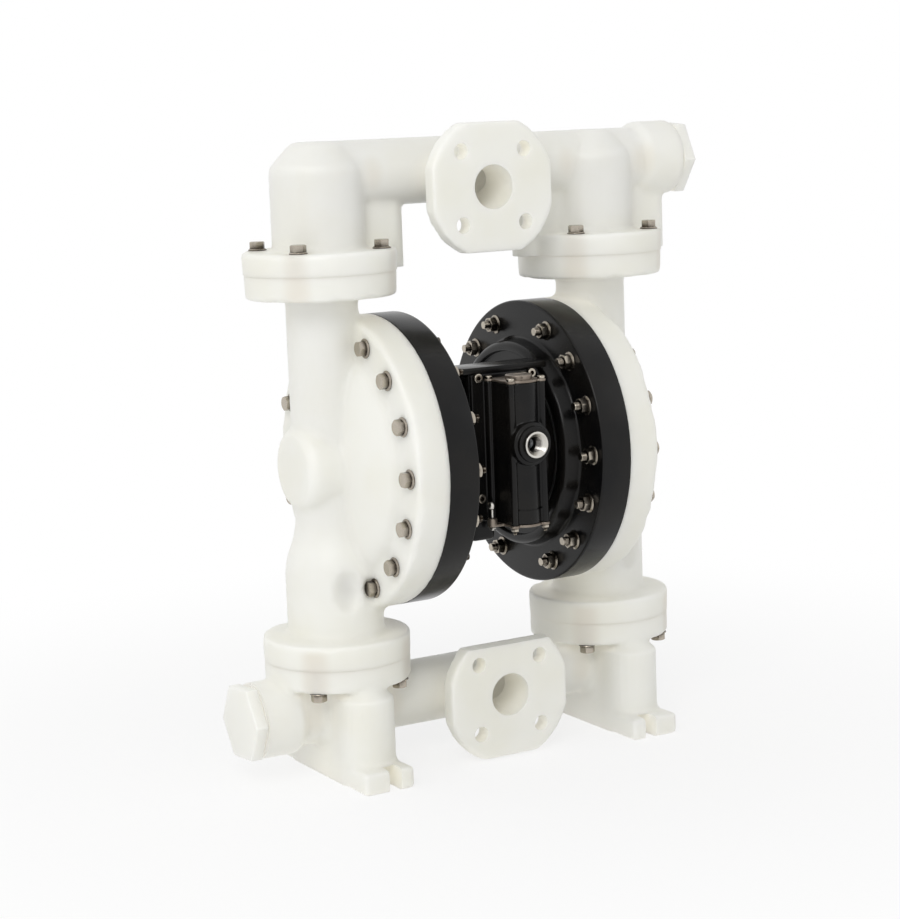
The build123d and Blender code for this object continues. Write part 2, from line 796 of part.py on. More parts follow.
def outer_plate():
    face_x = cap_joint_x + diaphragm_thickness / 2
    bore = spigot_radius + thread_gap
    face = outline(
        (face_x, bore),
        (face_x, plate_radius),
        (face_x + outer_plate_edge, plate_radius),
        (face_x + outer_plate_thickness, outer_plate_flat_radius),
        (face_x + outer_plate_thickness, bore),
    )
    edge = ((face_x, plate_radius), (face_x + outer_plate_edge, plate_radius))
    return turned_x(rounded(face, plate_round, *edge))


def plate_nut():
    start = cap_joint_x + diaphragm_thickness / 2 + outer_plate_thickness
    hexagon = Plane.YZ * RegularPolygon(plate_nut_hex_radius, 6)
    nut = Pos(start, 0, shaft_height) * extrude(hexagon, plate_nut_height)
    return nut - rod_x(spigot_radius + thread_gap, start, start + plate_nut_height)


def diaphragm_shaft():
    shoulder = cap_joint_x - diaphragm_thickness / 2 - inner_plate_thickness
    nut_end = cap_joint_x + diaphragm_thickness / 2 + outer_plate_thickness + plate_nut_height
    end = nut_end + spigot_stand
    return rod_x(shaft_radius, -shoulder, shoulder) + rod_x(spigot_radius, -end, end)


def shaft_bush():
    start = pad_x - bush_length
    return rod_x(bush_radius, start, pad_x) - rod_x(shaft_radius + running_gap, start, pad_x)


def shaft_seal():
    end = bulkhead_x + seal_width
    return rod_x(seal_radius, bulkhead_x, end) - rod_x(shaft_radius + seal_gap, bulkhead_x, end)


def pilot_rod():
    plate_back = cap_joint_x - diaphragm_thickness / 2 - inner_plate_thickness
    tip = plate_back - shaft_stroke + pilot_rod_stroke - pilot_touch_gap
    return rod_x(pilot_rod_radius, -tip, tip, z=shaft_height + pilot_rod_rise)


def pilot_rod_bush():
    height = shaft_height + pilot_rod_rise
    bush = rod_x(pilot_bush_radius, bulkhead_x, air_floor_x, z=height)
    return bush - rod_x(pilot_rod_radius + running_gap, bulkhead_x, air_floor_x, z=height)


def hub_screws():
    head = rod_x(hub_screw_head_radius, air_floor_x, air_floor_x + hub_screw_head_height, z=0)
    shank = rod_x(hub_screw_radius, air_floor_x - bulkhead_thickness - hub_screw_grip, air_floor_x, z=0)
    return around_x(head + shank, hub_screw_circle_radius, hub_screw_angles())


def hub_gasket():
    outer = rod_x(pad_radius, pad_x, bulkhead_x)
    return outer - rod_x(hub_gasket_inner_radius, pad_x, bulkhead_x)


def center_body():
    top = shaft_height + waist_top
    bottom = shaft_height - waist_bottom
    shoulder = shaft_height + waist_shoulder
    roof_back = roof_depth - waist_front
    waist = block(-waist_half_width, waist_half_width, -waist_front, waist_back, bottom, shoulder)
    waist += block(-waist_half_width, waist_half_width, -waist_front, roof_back, shoulder, top)
    waist = fillet(waist.edges().filter_by(Axis.Z), waist_round)
    roof_end = hub_x - roof_gap
    roof_front = -waist_front - roof_overhang
    roof_top = top + roof_thickness
    roof = block(-roof_end, roof_end, roof_front, roof_back, top, roof_top)
    roof = fillet(roof.faces().sort_by(Axis.Z)[-1].edges(), roof_groove)
    groove_top = roof_top - roof_groove_drop
    groove_bottom = groove_top - roof_groove
    roof -= block(-roof_end, roof_end, roof_front, roof_front + roof_groove, groove_bottom, groove_top)
    lug = block(
        -waist_half_width, -lug_inner, -waist_front, lug_depth - waist_front, shaft_height - lug_bottom, bottom
    )
    lug = fillet(lug.faces().sort_by(Axis.Z)[0].edges(), lug_round)
    body = waist + roof + lug + rod_x(barrel_radius, -pad_x, pad_x)
    for side in (-1, 1):
        body += rod_x(pad_radius, side * (pad_x - pad_thickness), side * pad_x)
    exhaust_end = waist_back + exhaust_boss_length
    body += rod_y(exhaust_boss_radius, 0, exhaust_end)

    cuts = [
        rod_x(shaft_radius + shaft_clearance, -pad_x, pad_x),
        rod_x(pilot_rod_radius + shaft_clearance, -pad_x, pad_x, z=shaft_height + pilot_rod_rise),
        rod_y(exhaust_bore_radius, exhaust_end - exhaust_thread_length, exhaust_end),
    ]
    thread = rod_x(hub_screw_radius + thread_gap, pad_x + hub_gasket_thickness - hub_screw_grip, pad_x, z=0)
    for hole in around_x(thread, hub_screw_circle_radius, hub_screw_angles()):
        cuts += [hole, mirror(hole, about=Plane.YZ)]
    for side in (-1, 1):
        cuts.append(rod_x(bush_radius, side * (pad_x - bush_length), side * pad_x))
    for x, z in mount_screw_places():
        cuts.append(rod_y(mount_screw_radius + thread_gap, -waist_front, mount_screw_end, x, z))
    return body - cuts


# Screws that hold the valve's flange on the front wall
def mount_screw_places():
    rows = (shaft_height - mount_screw_bottom, shaft_height + mount_screw_top)
    return [(side * mount_screw_offset, z) for side in (-1, 1) for z in rows]


def valve_mount_screws():
    screws = []
    head_front = valve_flange_y - mount_screw_head_height
    for x, z in mount_screw_places():
        shank = rod_y(mount_screw_radius, valve_flange_y, mount_screw_end, x, z)
        screws.append(shank + rod_y(mount_screw_head_radius, head_front, valve_flange_y, x, z))
    return Compound(screws)


# Screw places of the valve's end caps, seen from above
def valve_screw_places():
    front = valve_back_y - front_column_reach
    back = valve_back_y - back_column_reach
    spreads = ((front_column_spread, front), (back_column_spread, back))
    return [(side * spread, y) for side in (-1, 1) for spread, y in spreads]


# Outline of the air valve, seen from above, wider by a margin all round
def valve_outline(margin):
    front = valve_back_y - valve_depth
    depth = valve_depth + margin
    face = Pos(0, front - margin + depth / 2) * Rectangle(2 * (valve_half_width + margin), depth)
    face += Pos(0, spool_y) * Circle(housing_radius + margin)
    for x, y in valve_screw_places():
        face += Pos(x, y) * Circle(screw_column_radius + margin)
    return face


def valve_body():
    top = shaft_height + valve_top
    bottom = shaft_height - valve_bottom
    body = Pos(0, 0, bottom) * extrude(valve_outline(0), top - bottom)
    boss = rod_y(inlet_boss_radius, -inlet_boss_face, inlet_boss_length - inlet_boss_face, z=inlet_boss_z)
    boss = fillet(boss.faces().sort_by(Axis.Y)[0].edges(), valve_edge_round)
    collar = rod_y(inlet_collar_radius, -inlet_collar_face, -inlet_boss_face, z=inlet_boss_z)
    body += boss + fillet(collar.faces().sort_by(Axis.Y)[0].edges(), valve_edge_round)
    flange_top = shaft_height + valve_flange_top
    body += block(
        -valve_flange_half_width, valve_flange_half_width, valve_flange_y, valve_back_y, bottom, flange_top
    )
    step = shaft_height - spool_step
    groove = rod_z(housing_radius + spool_step_height, step, step + spool_step_height, 0, spool_y)
    groove -= rod_z(housing_radius - spool_step_depth, step, step + spool_step_height, 0, spool_y)
    front = valve_back_y - valve_depth
    groove &= block(
        -front_column_spread + screw_column_radius,
        front_column_spread - screw_column_radius,
        spool_y - 2 * housing_radius,
        front,
        step,
        step + spool_step_height,
    )
    insert_end = inlet_insert_length - inlet_insert_stand - inlet_collar_face
    cuts = [
        rod_z(sleeve_radius + running_gap, bottom, top, 0, spool_y),
        rod_y(inlet_insert_radius, -inlet_collar_face, insert_end, z=inlet_boss_z),
        rod_y(inlet_passage_radius, insert_end, spool_y, z=inlet_boss_z),
        groove,
    ]
    hole = valve_screw_radius + thread_gap
    for x, y in valve_screw_places():
        cuts.append(rod_z(hole, top - valve_screw_length, top, x, y))
        cuts.append(rod_z(hole, bottom, bottom + valve_screw_length, x, y))
    for x, z in mount_screw_places():
        cuts.append(rod_y(mount_screw_radius + thread_gap, valve_flange_y, valve_back_y, x, z))
    return body - cuts


def valve_gasket():
    sheet = block(
        -valve_flange_half_width,
        valve_flange_half_width,
        valve_back_y,
        -waist_front,
        shaft_height - valve_bottom,
        shaft_height + valve_flange_top,
    )
    for x, z in mount_screw_places():
        sheet -= rod_y(mount_screw_radius + thread_gap, valve_back_y, -waist_front, x, z)
    return sheet


# Plate of an end cap, as far back as the valve's flange
def valve_cap_plate(bottom):
    depth = valve_depth + housing_radius
    in_front = Pos(0, valve_flange_y - valve_cap_gap - depth / 2) * Rectangle(2 * valve_flange_half_width, depth)
    return Pos(0, 0, bottom) * extrude(valve_outline(valve_cap_overhang) & in_front, valve_cap_thickness)


def valve_top_cap():
    top = shaft_height + valve_top
    plate = valve_cap_plate(top)
    button_top = top + valve_cap_thickness + valve_cap_button_height
    plate += rod_z(valve_cap_button_radius, top, button_top, 0, spool_y)
    hole = Pos(0, spool_y, top + valve_cap_thickness + valve_cap_button_height / 2) * (
        Rot(0, 0, button_hole_angle)
        * Pos(valve_cap_button_radius - button_hole_depth / 2, 0, 0)
        * Rot(0, 90, 0)
        * Cylinder(button_hole_radius, button_hole_depth)
    )
    plate -= hole
    for x, y in valve_screw_places():
        plate -= rod_z(valve_screw_radius + thread_gap, top, top + valve_cap_thickness, x, y)
    return plate


def valve_bottom_cap():
    top = shaft_height - valve_bottom
    bottom = top - valve_cap_thickness
    plate = valve_cap_plate(bottom)
    pin_y = valve_back_y - pin_front
    plate += block(-pin_offset, 0, pin_y - pin_boss_radius, pin_y + pin_boss_radius, bottom, top)
    plate += rod_z(pin_boss_radius, bottom, top + pin_boss_height, -pin_offset, pin_y)
    plate += rod_z(sleeve_bore_radius - shaft_clearance, bottom, spool_bottom() - spool_rest_gap, 0, spool_y)
    plate -= rod_z(pin_radius + pin_gap, bottom, top + pin_boss_height, -pin_offset, pin_y)
    for x, y in valve_screw_places():
        plate -= rod_z(valve_screw_radius + thread_gap, bottom, top, x, y)
    return plate


def valve_screws():
    grip = valve_cap_thickness + valve_screw_length
    head = rod_z(valve_screw_head_radius, 0, valve_screw_head_height)
    screw = head + rod_z(valve_screw_radius, -grip, 0)
    upper = shaft_height + valve_top + valve_cap_thickness
    lower = shaft_height - valve_bottom - valve_cap_thickness
    places = valve_screw_places()
    above = [Pos(x, y, upper) * screw for x, y in places]
    bolt_end = screw + rod_z(valve_screw_radius, 0, valve_screw_head_height + valve_screw_tip)
    below = [Pos(x, y, lower) * Rot(180, 0, 0) * bolt_end for x, y in places]
    return Compound(above + below)


def air_inlet_insert():
    face_y = inlet_collar_face + inlet_insert_stand
    ring = rod_y(inlet_insert_radius, -face_y, inlet_insert_length - face_y, z=inlet_boss_z)
    ring -= rod_y(inlet_thread_radius, -face_y, inlet_insert_length - face_y, z=inlet_boss_z)
    mouth = Cone(inlet_mouth_radius, inlet_thread_radius, inlet_mouth_depth)
    return ring - Pos(0, inlet_mouth_depth / 2 - face_y, inlet_boss_z) * Rot(-90, 0, 0) * mouth


def sleeve_ends():
    return shaft_height - valve_bottom + sleeve_end_gap, shaft_height + valve_top - sleeve_end_gap


def spool_bottom():
    return sleeve_ends()[0] + sleeve_end_gap


def valve_sleeve():
    start, end = sleeve_ends()
    sleeve = rod_z(sleeve_radius, start, end, 0, spool_y) - rod_z(sleeve_bore_radius, start, end, 0, spool_y)
    return sleeve - rod_y(inlet_passage_radius, -inlet_boss_face, spool_y, z=inlet_boss_z)


# Grooves for the spool's seals, near both ends of each land
def spool_grooves():
    bottom = spool_bottom()
    middle = bottom + spool_length / 2
    half = spool_land_length / 2
    return [bottom + half, middle, bottom + spool_length - half]


def spool_ring(centre, inner, outer):
    half = spool_groove_width / 2
    return rod_z(outer, centre - half, centre + half, 0, spool_y) - rod_z(
        inner, centre - half, centre + half, 0, spool_y
    )


def air_valve_spool():
    bottom = spool_bottom()
    land = sleeve_bore_radius - running_gap
    spool = rod_z(spool_waist_radius, bottom, bottom + spool_length, 0, spool_y)
    for centre in spool_grooves():
        half = spool_land_length / 2
        spool += rod_z(land, centre - half, centre + half, 0, spool_y)
    for centre in spool_grooves():
        spool -= spool_ring(centre, land - spool_groove_depth, land)
    return spool


def spool_seals():
    land = sleeve_bore_radius - running_gap
    return Compound([spool_ring(centre, land - spool_groove_depth, land) for centre in spool_grooves()])


def reset_pin():
    pin_y = valve_back_y - pin_front
    ball = shaft_height - pin_ball_drop
    plate_bottom = shaft_height - valve_bottom - valve_cap_thickness
    clip_top = plate_bottom - pin_clip_gap
    clip_bottom = clip_top - pin_clip_thickness
    pin = rod_z(pin_radius, clip_bottom - pin_tail, ball, -pin_offset, pin_y)
    pin += Pos(-pin_offset, pin_y, ball) * Sphere(pin_ball_radius)
    return pin + rod_z(pin_clip_radius, clip_bottom, clip_top, -pin_offset, pin_y)


def left(shape):
    return mirror(shape, about=Plane.YZ)


def check_ball(height):
    return Pos(column_offset, 0, height) * Sphere(ball_radius)


fluid_cap_right = fluid_cap()
air_cap_right = air_cap()
outlet_bolts = manifold_bolts(upper_joint + outlet_flange_thickness, upper_joint, 1)
inlet_bolts = manifold_bolts(lower_joint - inlet_flange_thickness, lower_joint, -1)

nodes = {
    "inlet_manifold": inlet_manifold(),
    "outlet_manifold": outlet_manifold(),
    "inlet_plug": left(blanking_plug(inlet_pipe_height)),
    "outlet_plug": blanking_plug(outlet_pipe_height),
    "plug_gaskets": Compound([left(plug_gasket(inlet_pipe_height)), plug_gasket(outlet_pipe_height)]),
    "left_fluid_cap": left(fluid_cap_right),
    "right_fluid_cap": fluid_cap_right,
    "left_air_cap": left(air_cap_right),
    "right_air_cap": air_cap_right,
    "left_cap_bolts": Compound([left(bolt) for bolt in cap_bolts()]),
    "right_cap_bolts": Compound(cap_bolts()),
    "left_cap_nuts": Compound([left(nut) for nut in cap_nuts()]),
    "right_cap_nuts": Compound(cap_nuts()),
    "outlet_manifold_bolts": both_sides(outlet_bolts),
    "inlet_manifold_bolts": both_sides(inlet_bolts),
    "thread_inserts": both_sides(thread_inserts()),
    "inlet_ball_seats": both_sides([ball_seat(lower_joint)]),
    "outlet_ball_seats": both_sides([ball_seat(upper_joint)]),
    "seat_rings": both_sides([seat_ring(lower_joint), seat_ring(upper_joint)]),
    "left_inlet_ball": left(check_ball(inlet_ball_height)),
    "right_inlet_ball": check_ball(inlet_ball_height),
    "left_outlet_ball": left(check_ball(outlet_ball_height)),
    "right_outlet_ball": check_ball(outlet_ball_height),
    "left_diaphragm": left(diaphragm()),
    "right_diaphragm": diaphragm(),
    "left_inner_plate": left(inner_plate()),
    "right_inner_plate": inner_plate(),
    "left_outer_plate": left(outer_plate()),
    "right_outer_plate": outer_plate(),
    "plate_nuts": both_sides([plate_nut()]),
    "diaphragm_shaft": diaphragm_shaft(),
    "shaft_bushes": both_sides([shaft_bush()]),
    "shaft_seals": both_sides([shaft_seal()]),
    "pilot_rod": pilot_rod(),
    "pilot_rod_bushes": both_sides([pilot_rod_bush()]),
    "hub_screws": both_sides(hub_screws()),
    "hub_gaskets": both_sides([hub_gasket()]),
    "center_body": center_body(),
    "valve_gasket": valve_gasket(),
    "valve_mount_screws": valve_mount_screws(),
    "valve_body": valve_body(),
    "valve_top_cap": valve_top_cap(),
    "valve_bottom_cap": valve_bottom_cap(),
    "valve_screws": valve_screws(),
    "air_inlet_insert": air_inlet_insert(),
    "valve_sleeve": valve_sleeve(),
    "air_valve_spool": air_valve_spool(),
    "spool_seals": spool_seals(),
    "reset_pin": reset_pin(),
}

os.makedirs("parts", exist_ok=True)
for name, shape in nodes.items():
    export_step(shape, f"parts/{name}.step")
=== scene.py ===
import json
import math

import bmesh
import bpy
from mathutils import Matrix, Vector


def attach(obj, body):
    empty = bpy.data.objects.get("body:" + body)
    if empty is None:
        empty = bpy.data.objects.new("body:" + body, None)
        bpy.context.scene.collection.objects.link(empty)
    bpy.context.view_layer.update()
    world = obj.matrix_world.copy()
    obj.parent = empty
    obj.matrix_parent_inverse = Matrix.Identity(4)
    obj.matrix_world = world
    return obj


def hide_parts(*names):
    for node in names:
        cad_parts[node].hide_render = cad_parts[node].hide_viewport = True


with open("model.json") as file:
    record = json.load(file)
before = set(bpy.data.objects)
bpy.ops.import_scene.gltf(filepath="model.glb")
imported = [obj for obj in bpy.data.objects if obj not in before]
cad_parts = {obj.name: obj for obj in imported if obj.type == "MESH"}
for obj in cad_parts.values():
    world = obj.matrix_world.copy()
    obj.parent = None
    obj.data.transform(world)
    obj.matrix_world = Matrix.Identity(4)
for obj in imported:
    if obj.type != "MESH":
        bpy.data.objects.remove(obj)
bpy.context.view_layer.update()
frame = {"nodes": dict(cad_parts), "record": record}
nodes = frame["nodes"]
print("frame loaded,", len(nodes), "nodes")

mm = 0.001  # every size below is in millimetres
xAxis, yAxis, zAxis = Vector((1, 0, 0)), Vector((0, 1, 0)), Vector((0, 0, 1))

# What the pieces share
pump = {
    "shaftZ": 370,
    "columnX": 188,
    "upperJointZ": 599,
    "lowerJointZ": 141,
    "pipeRadius": 39,
    "pipeBore": 31,
    "collarRadius": 45.6,
    "collarTaper": (248, 259),
    "collarEnd": 303,
    "plugThread": 33,
    "flangeBoltReach": 53.74,  # bolts of the column flanges from the column, along X and Y
    "capBoltCircle": 153,
    "capBoltAngles": [22.5 * place for place in range(16) if place not in (4, 12)],
    "boltHole": 5.5,
    "boltSeat": 12.1,
    "ballRadius": 31.75,
    "seatPocket": (53.1, 12),  # radius and depth of the pockets for the ball seats
    "spoolY": -127.5,
    "valveBackY": -89.5,
    "voxel": 2.2,
    "fineVoxel": 0.9,
    "thread": {"radius": 5, "pitch": 1.5, "depth": 0.8},
}


# A part's faces move into the mesh that is being built, and the part is used up
def addTo(bm, part):
    mesh = bpy.data.meshes.new("passing")
    part.to_mesh(mesh)
    part.free()
    bm.from_mesh(mesh)
    bpy.data.meshes.remove(mesh)


# A closed form turned from points of (along the axis, radius, optional rounding)
def turned(bm, points, axis, centre, steps=144):
    part = bmesh.new()
    side = zAxis if axis == xAxis else xAxis
    verts = [part.verts.new(axis * point[0] * mm + side * point[1] * mm) for point in points]
    for first, second in zip(verts, verts[1:]):
        part.edges.new((first, second))
    if points[0][1] > 0:
        part.edges.new((verts[-1], verts[0]))
    for rounding in sorted({point[2] for point in points if len(point) > 2}):
        corners = [vert for vert, point in zip(verts, points) if len(point) > 2 and point[2] == rounding]
        bmesh.ops.bevel(
            part, geom=corners, offset=rounding * mm, offset_type="OFFSET", segments=6, profile=0.5,
            affect="VERTICES", material=-1,
        )
    wire = part.verts[:] + part.edges[:]
    bmesh.ops.spin(
        part, geom=wire, cent=(0, 0, 0), axis=axis, angle=2 * math.pi, steps=steps, use_merge=True
    )
    bmesh.ops.remove_doubles(part, verts=part.verts, dist=1e-7)
    bmesh.ops.translate(part, verts=part.verts, vec=Vector(centre) * mm)
    bmesh.ops.recalc_face_normals(part, faces=part.faces)
    addTo(bm, part)


# A round bar between two places along an axis, with softened ends
def bar(bm, radius, start, end, axis, centre, steps=64, endRound=0):
    ends = [(start, 0), (start, radius, endRound), (end, radius, endRound), (end, 0)]
    if not endRound:
        ends = [point[:2] for point in ends]
    turned(bm, ends, axis, centre, steps)


# A block between two opposite corners, with rounded edges
def block(bm, low, high, rounding=0, segments=3):
    part = bmesh.new()
    size = Vector(high) - Vector(low)
    middle = (Vector(high) + Vector(low)) / 2
    place = Matrix.Translation(middle * mm) @ Matrix.Diagonal((*(size * mm), 1))
    bmesh.ops.create_cube(part, size=1, matrix=place)
    if rounding:
        bmesh.ops.bevel(
            part, geom=part.edges[:], offset=rounding * mm, offset_type="OFFSET", segments=segments,
            profile=0.5, affect="EDGES", material=-1,
        )
    addTo(bm, part)


# A flat outline pushed along a direction
def pushed(bm, outline, corners, push, rounding=0):
    part = bmesh.new()
    verts = [part.verts.new(Vector(point) * mm) for point in outline]
    face = part.faces.new(verts)
    if corners:
        bmesh.ops.bevel(
            part, geom=verts, offset=corners * mm, offset_type="OFFSET", segments=5, profile=0.5,
            affect="VERTICES", material=-1,
        )
        face = part.faces[:][0]
    made = bmesh.ops.extrude_face_region(part, geom=[face])["geom"]
    moved = [item for item in made if isinstance(item, bmesh.types.BMVert)]
    bmesh.ops.translate(part, verts=moved, vec=Vector(push) * mm)
    if face not in part.faces:
        part.faces.new(verts)
    bmesh.ops.recalc_face_normals(part, faces=part.faces)
    if rounding:
        rims = [edge for edge in part.edges if edge.calc_face_angle(0) > 0.9]
        bmesh.ops.bevel(
            part, geom=rims, offset=rounding * mm, offset_type="OFFSET", segments=3, profile=0.5,
            affect="EDGES", clamp_overlap=True, material=-1,
        )
    addTo(bm, part)


# A bar along +Z whose skin winds up as a right-handed screw thread
def threaded(bm, radius, pitch, depth, length, steps=32, rows=6):
    rounds = max(2, round(length / pitch * rows))
    rings = []
    for row in range(rounds + 1):
        height = length * row / rounds
        ring = []
        for step in range(steps):
            phase = (height / pitch - step / steps) % 1
            reach = radius - depth * abs(2 * phase - 1)
            angle = 2 * math.pi * step / steps
            point = Vector((reach * math.cos(angle), reach * math.sin(angle), height))
            ring.append(bm.verts.new(point * mm))
        rings.append(ring)
    for low, high in zip(rings, rings[1:]):
        for step in range(steps):
            after = (step + 1) % steps
            bm.faces.new((low[step], low[after], high[after], high[step]))
    bm.faces.new(rings[0][::-1])
    bm.faces.new(rings[-1])


# The way from a part drawn along +Z to its place on the pump
def aimed(where, direction, roll=0):
    turn = Vector(direction).to_track_quat("Z", "Y").to_matrix().to_4x4()
    return Matrix.Translation(Vector(where) * mm) @ turn @ Matrix.Rotation(math.radians(roll), 4, "Z")


def placed(bm, part, matrix):
    bmesh.ops.transform(part, matrix=matrix, verts=part.verts)
    addTo(bm, part)


def makeObject(name, bm, material, smooth=True):
    mesh = bpy.data.meshes.new(name)
    bm.to_mesh(mesh)
    bm.free()
    made = bpy.data.objects.new(name, mesh)
    bpy.context.scene.collection.objects.link(made)
    mesh.materials.append(material)
    if smooth:
        mesh.shade_smooth()
        mesh.set_sharp_from_angle(angle=math.radians(38))
    return made


# The piece keeps the shape that its modifiers give it
def settle(piece):
    bpy.context.view_layer.update()
    evaluated = piece.evaluated_get(bpy.context.evaluated_depsgraph_get())
    mesh = bpy.data.meshes.new_from_object(evaluated)
    old = piece.data
    piece.modifiers.clear()
    piece.data = mesh
    bpy.data.meshes.remove(old)


def skinned(piece, voxel):
    remesh = piece.modifiers.new("skin", "REMESH")
    remesh.mode = "VOXEL"
    remesh.voxel_size = voxel * mm
    settle(piece)


# Closed shells grown together like one casting: a fine even skin, with the inner corners smoothed into
# the mould's fillets. Hollows are cut out and smoothed on all their edges.
def cast(name, bm, material, voxel, fillet, passes=3, hollows=()):
    piece = makeObject(name, bm, material, smooth=False)
    skinned(piece, voxel)
    if hollows:
        combine(piece, hollows)
        skinned(piece, voxel)
    skin = bmesh.new()
    skin.from_mesh(piece.data)
    creases = [
        edge for edge in skin.edges if len(edge.link_faces) == 2 and edge.calc_face_angle_signed() < -0.25
    ]
    grown = {vert for edge in creases for vert in edge.verts}
    rings = [set(grown)]
    for _ in range(max(1, round(fillet / voxel))):
        grown = grown | {edge.other_vert(vert) for vert in grown for edge in vert.link_edges}
        rings.append(grown)
    for ring in reversed(rings):
        for _ in range(passes):
            bmesh.ops.smooth_vert(
                skin, verts=list(ring), factor=0.5, use_axis_x=True, use_axis_y=True, use_axis_z=True
            )
    for _ in range(2):
        bmesh.ops.smooth_vert(
            skin, verts=skin.verts[:], factor=0.5, use_axis_x=True, use_axis_y=True, use_axis_z=True
        )
    skin.to_mesh(piece.data)
    skin.free()
    return piece


# Cutters taken out of a piece, or parts joined to it, one after the other
def combine(piece, cutters, operation="DIFFERENCE"):
    for cutter in cutters:
        tool = makeObject("cutter", cutter, piece.data.materials[0], smooth=False)
        change = piece.modifiers.new("cut", "BOOLEAN")
        change.operation = operation
        change.solver = "MANIFOLD"
        change.object = tool
        settle(piece)
        bpy.data.objects.remove(tool)


def finishSurface(piece, angle=38):
    piece.data.shade_smooth()
    piece.data.set_sharp_from_angle(angle=math.radians(angle))


def shape(builder, *values, **named):
    bm = bmesh.new()
    builder(bm, *values, **named)
    return bm


# The same piece on the other side of the pump
def mirrored(name, piece):
    bm = bmesh.new()
    bm.from_mesh(piece.data)
    bmesh.ops.scale(bm, vec=(-1, 1, 1), verts=bm.verts)
    bmesh.ops.reverse_faces(bm, faces=bm.faces)
    return makeObject(name, bm, piece.data.materials[0])


def fit(piece, body, slot, *replaced):
    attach(piece, body)
    if replaced:
        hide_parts(*replaced)


# A node's output, so that shader maths reads as sums and products
class Signal:
    def __init__(self, tree, socket=None):
        self.tree = tree
        self.socket = socket

    def node(self, kind, settings=None, values=None, output=0):
        made = self.tree.nodes.new(kind)
        for name, value in (settings or {}).items():
            setattr(made, name, value)
        for name, value in (values or {}).items():
            if isinstance(value, Signal):
                self.tree.links.new(value.socket, made.inputs[name])
            else:
                made.inputs[name].default_value = value
        return Signal(self.tree, made.outputs[output])

    def maths(self, operation, first, second=0.0):
        return self.node("ShaderNodeMath", {"operation": operation}, {0: first, 1: second})

    def __add__(self, other):
        return self.maths("ADD", self, other)

    def __sub__(self, other):
        return self.maths("SUBTRACT", self, other)

    def __rsub__(self, other):
        return self.maths("SUBTRACT", other, self)

    def __mul__(self, other):
        return self.maths("MULTIPLY", self, other)

    __radd__ = __add__
    __rmul__ = __mul__

    def absolute(self):
        return self.maths("ABSOLUTE", self)

    # 0 below low, 1 above high, smooth between; low may be above high
    def rise(self, low, high):
        settings = {"interpolation_type": "SMOOTHSTEP"}
        if low < high:
            return self.node(
                "ShaderNodeMapRange", settings, {"Value": self, "From Min": low, "From Max": high}
            )
        values = {"Value": self, "From Min": high, "From Max": low, "To Min": 1.0, "To Max": 0.0}
        return self.node("ShaderNodeMapRange", settings, values)


def objectPlace(signal):
    return signal.node("ShaderNodeTexCoord", output="Object")


def noise(signal, where, scale, detail=2.0, roughness=0.5):
    values = {"Vector": where, "Scale": scale, "Detail": detail, "Roughness": roughness}
    return signal.node("ShaderNodeTexNoise", {"noise_dimensions": "3D"}, values)


# 1 on open faces, down to 0 in corners narrower than the reach, in metres
def openness(signal, reach):
    return signal.node("ShaderNodeAmbientOcclusion", {"samples": 8}, {"Distance": reach}, output=1)


# The colour sockets of a Mix node come after its float and vector ones
def mixColours(signal, factor, first, second):
    return signal.node("ShaderNodeMix", {"data_type": "RGBA"}, {0: factor, 6: first, 7: second}, output=2)


# A material from its fixed values and from functions that draw what changes over the surface
def finished(name, fixed, colour, roughness, bump=None, glow=None):
    material = bpy.data.materials.new(name)
    material.use_nodes = True
    tree = material.node_tree
    tree.nodes.clear()
    start = Signal(tree)
    values = dict(fixed)
    values["Base Color"] = colour(start)
    values["Roughness"] = roughness(start)
    if glow:
        values["Emission Color"] = glow(start)
    if bump:
        height, strength, distance = bump(start)
        values["Normal"] = start.node(
            "ShaderNodeBump", {}, {"Height": height, "Strength": strength, "Distance": distance}
        )
    shader = start.node("ShaderNodeBsdfPrincipled", {}, values)
    out = tree.nodes.new("ShaderNodeOutputMaterial")
    tree.links.new(shader.socket, out.inputs["Surface"])
    return material


milky = {
    "plain": (0.84, 0.832, 0.762, 1),
    "cloud": (0.865, 0.862, 0.815, 1),
    # tint of the painted shade over the flange bolts
    "shadeTint": (0.74, 0.69, 0.60, 1),
    "cloudScale": 9.0,
    "flangeLow": 0.560,
    "flangeHigh": 0.170,
    "wallReach": 0.06,
    # colour of the painted glow in the hollows
    "glow": (0.125, 0.117, 0.104, 1),
}


# Painted shade: soft darker bands in the milky plastic of the column flanges, over the bolts inside them
def paintedBoltShade(start, where):
    split = start.node("ShaderNodeSeparateXYZ", {}, {"Vector": where})
    tree = split.tree
    separate = split.socket.node
    x = Signal(tree, separate.outputs["X"])
    y = Signal(tree, separate.outputs["Y"])
    z = Signal(tree, separate.outputs["Z"])
    reach = pump["flangeBoltReach"] * mm
    across = (x.absolute() - pump["columnX"] * mm).absolute() - reach
    deep = y.absolute() - reach
    away = (across * across + deep * deep).maths("SQRT", across * across + deep * deep)
    near = away.rise(0.024, 0.011)
    upper = z.rise(milky["flangeLow"], milky["flangeLow"] + 0.012)
    lower = z.rise(milky["flangeHigh"], milky["flangeHigh"] - 0.012)
    return near * (upper + lower)


def milkyColour(start):
    where = objectPlace(start)
    cloud = noise(start, where, milky["cloudScale"], 3.0).rise(0.35, 0.68)
    base = mixColours(start, cloud, milky["plain"], milky["cloud"])
    # Painted shade over the flange bolts, mixed into the plastic's own clouded colour
    return mixColours(start, paintedBoltShade(start, where) * 0.55, base, milky["shadeTint"])


# Painted glow: emission in the hollows of the milky castings, standing for light that comes through their
# walls
def paintedWallGlow(start):
    deep = openness(start, milky["wallReach"]).rise(0.75, 0.15)
    return mixColours(start, deep, (0, 0, 0, 1), milky["glow"])


def moulded(scale, strength, distance):
    return lambda start: (noise(start, objectPlace(start), scale, 2.0), strength, distance)


def varied(low, high, scale):
    return lambda start: noise(start, objectPlace(start), scale, 3.0) * (high - low) + low


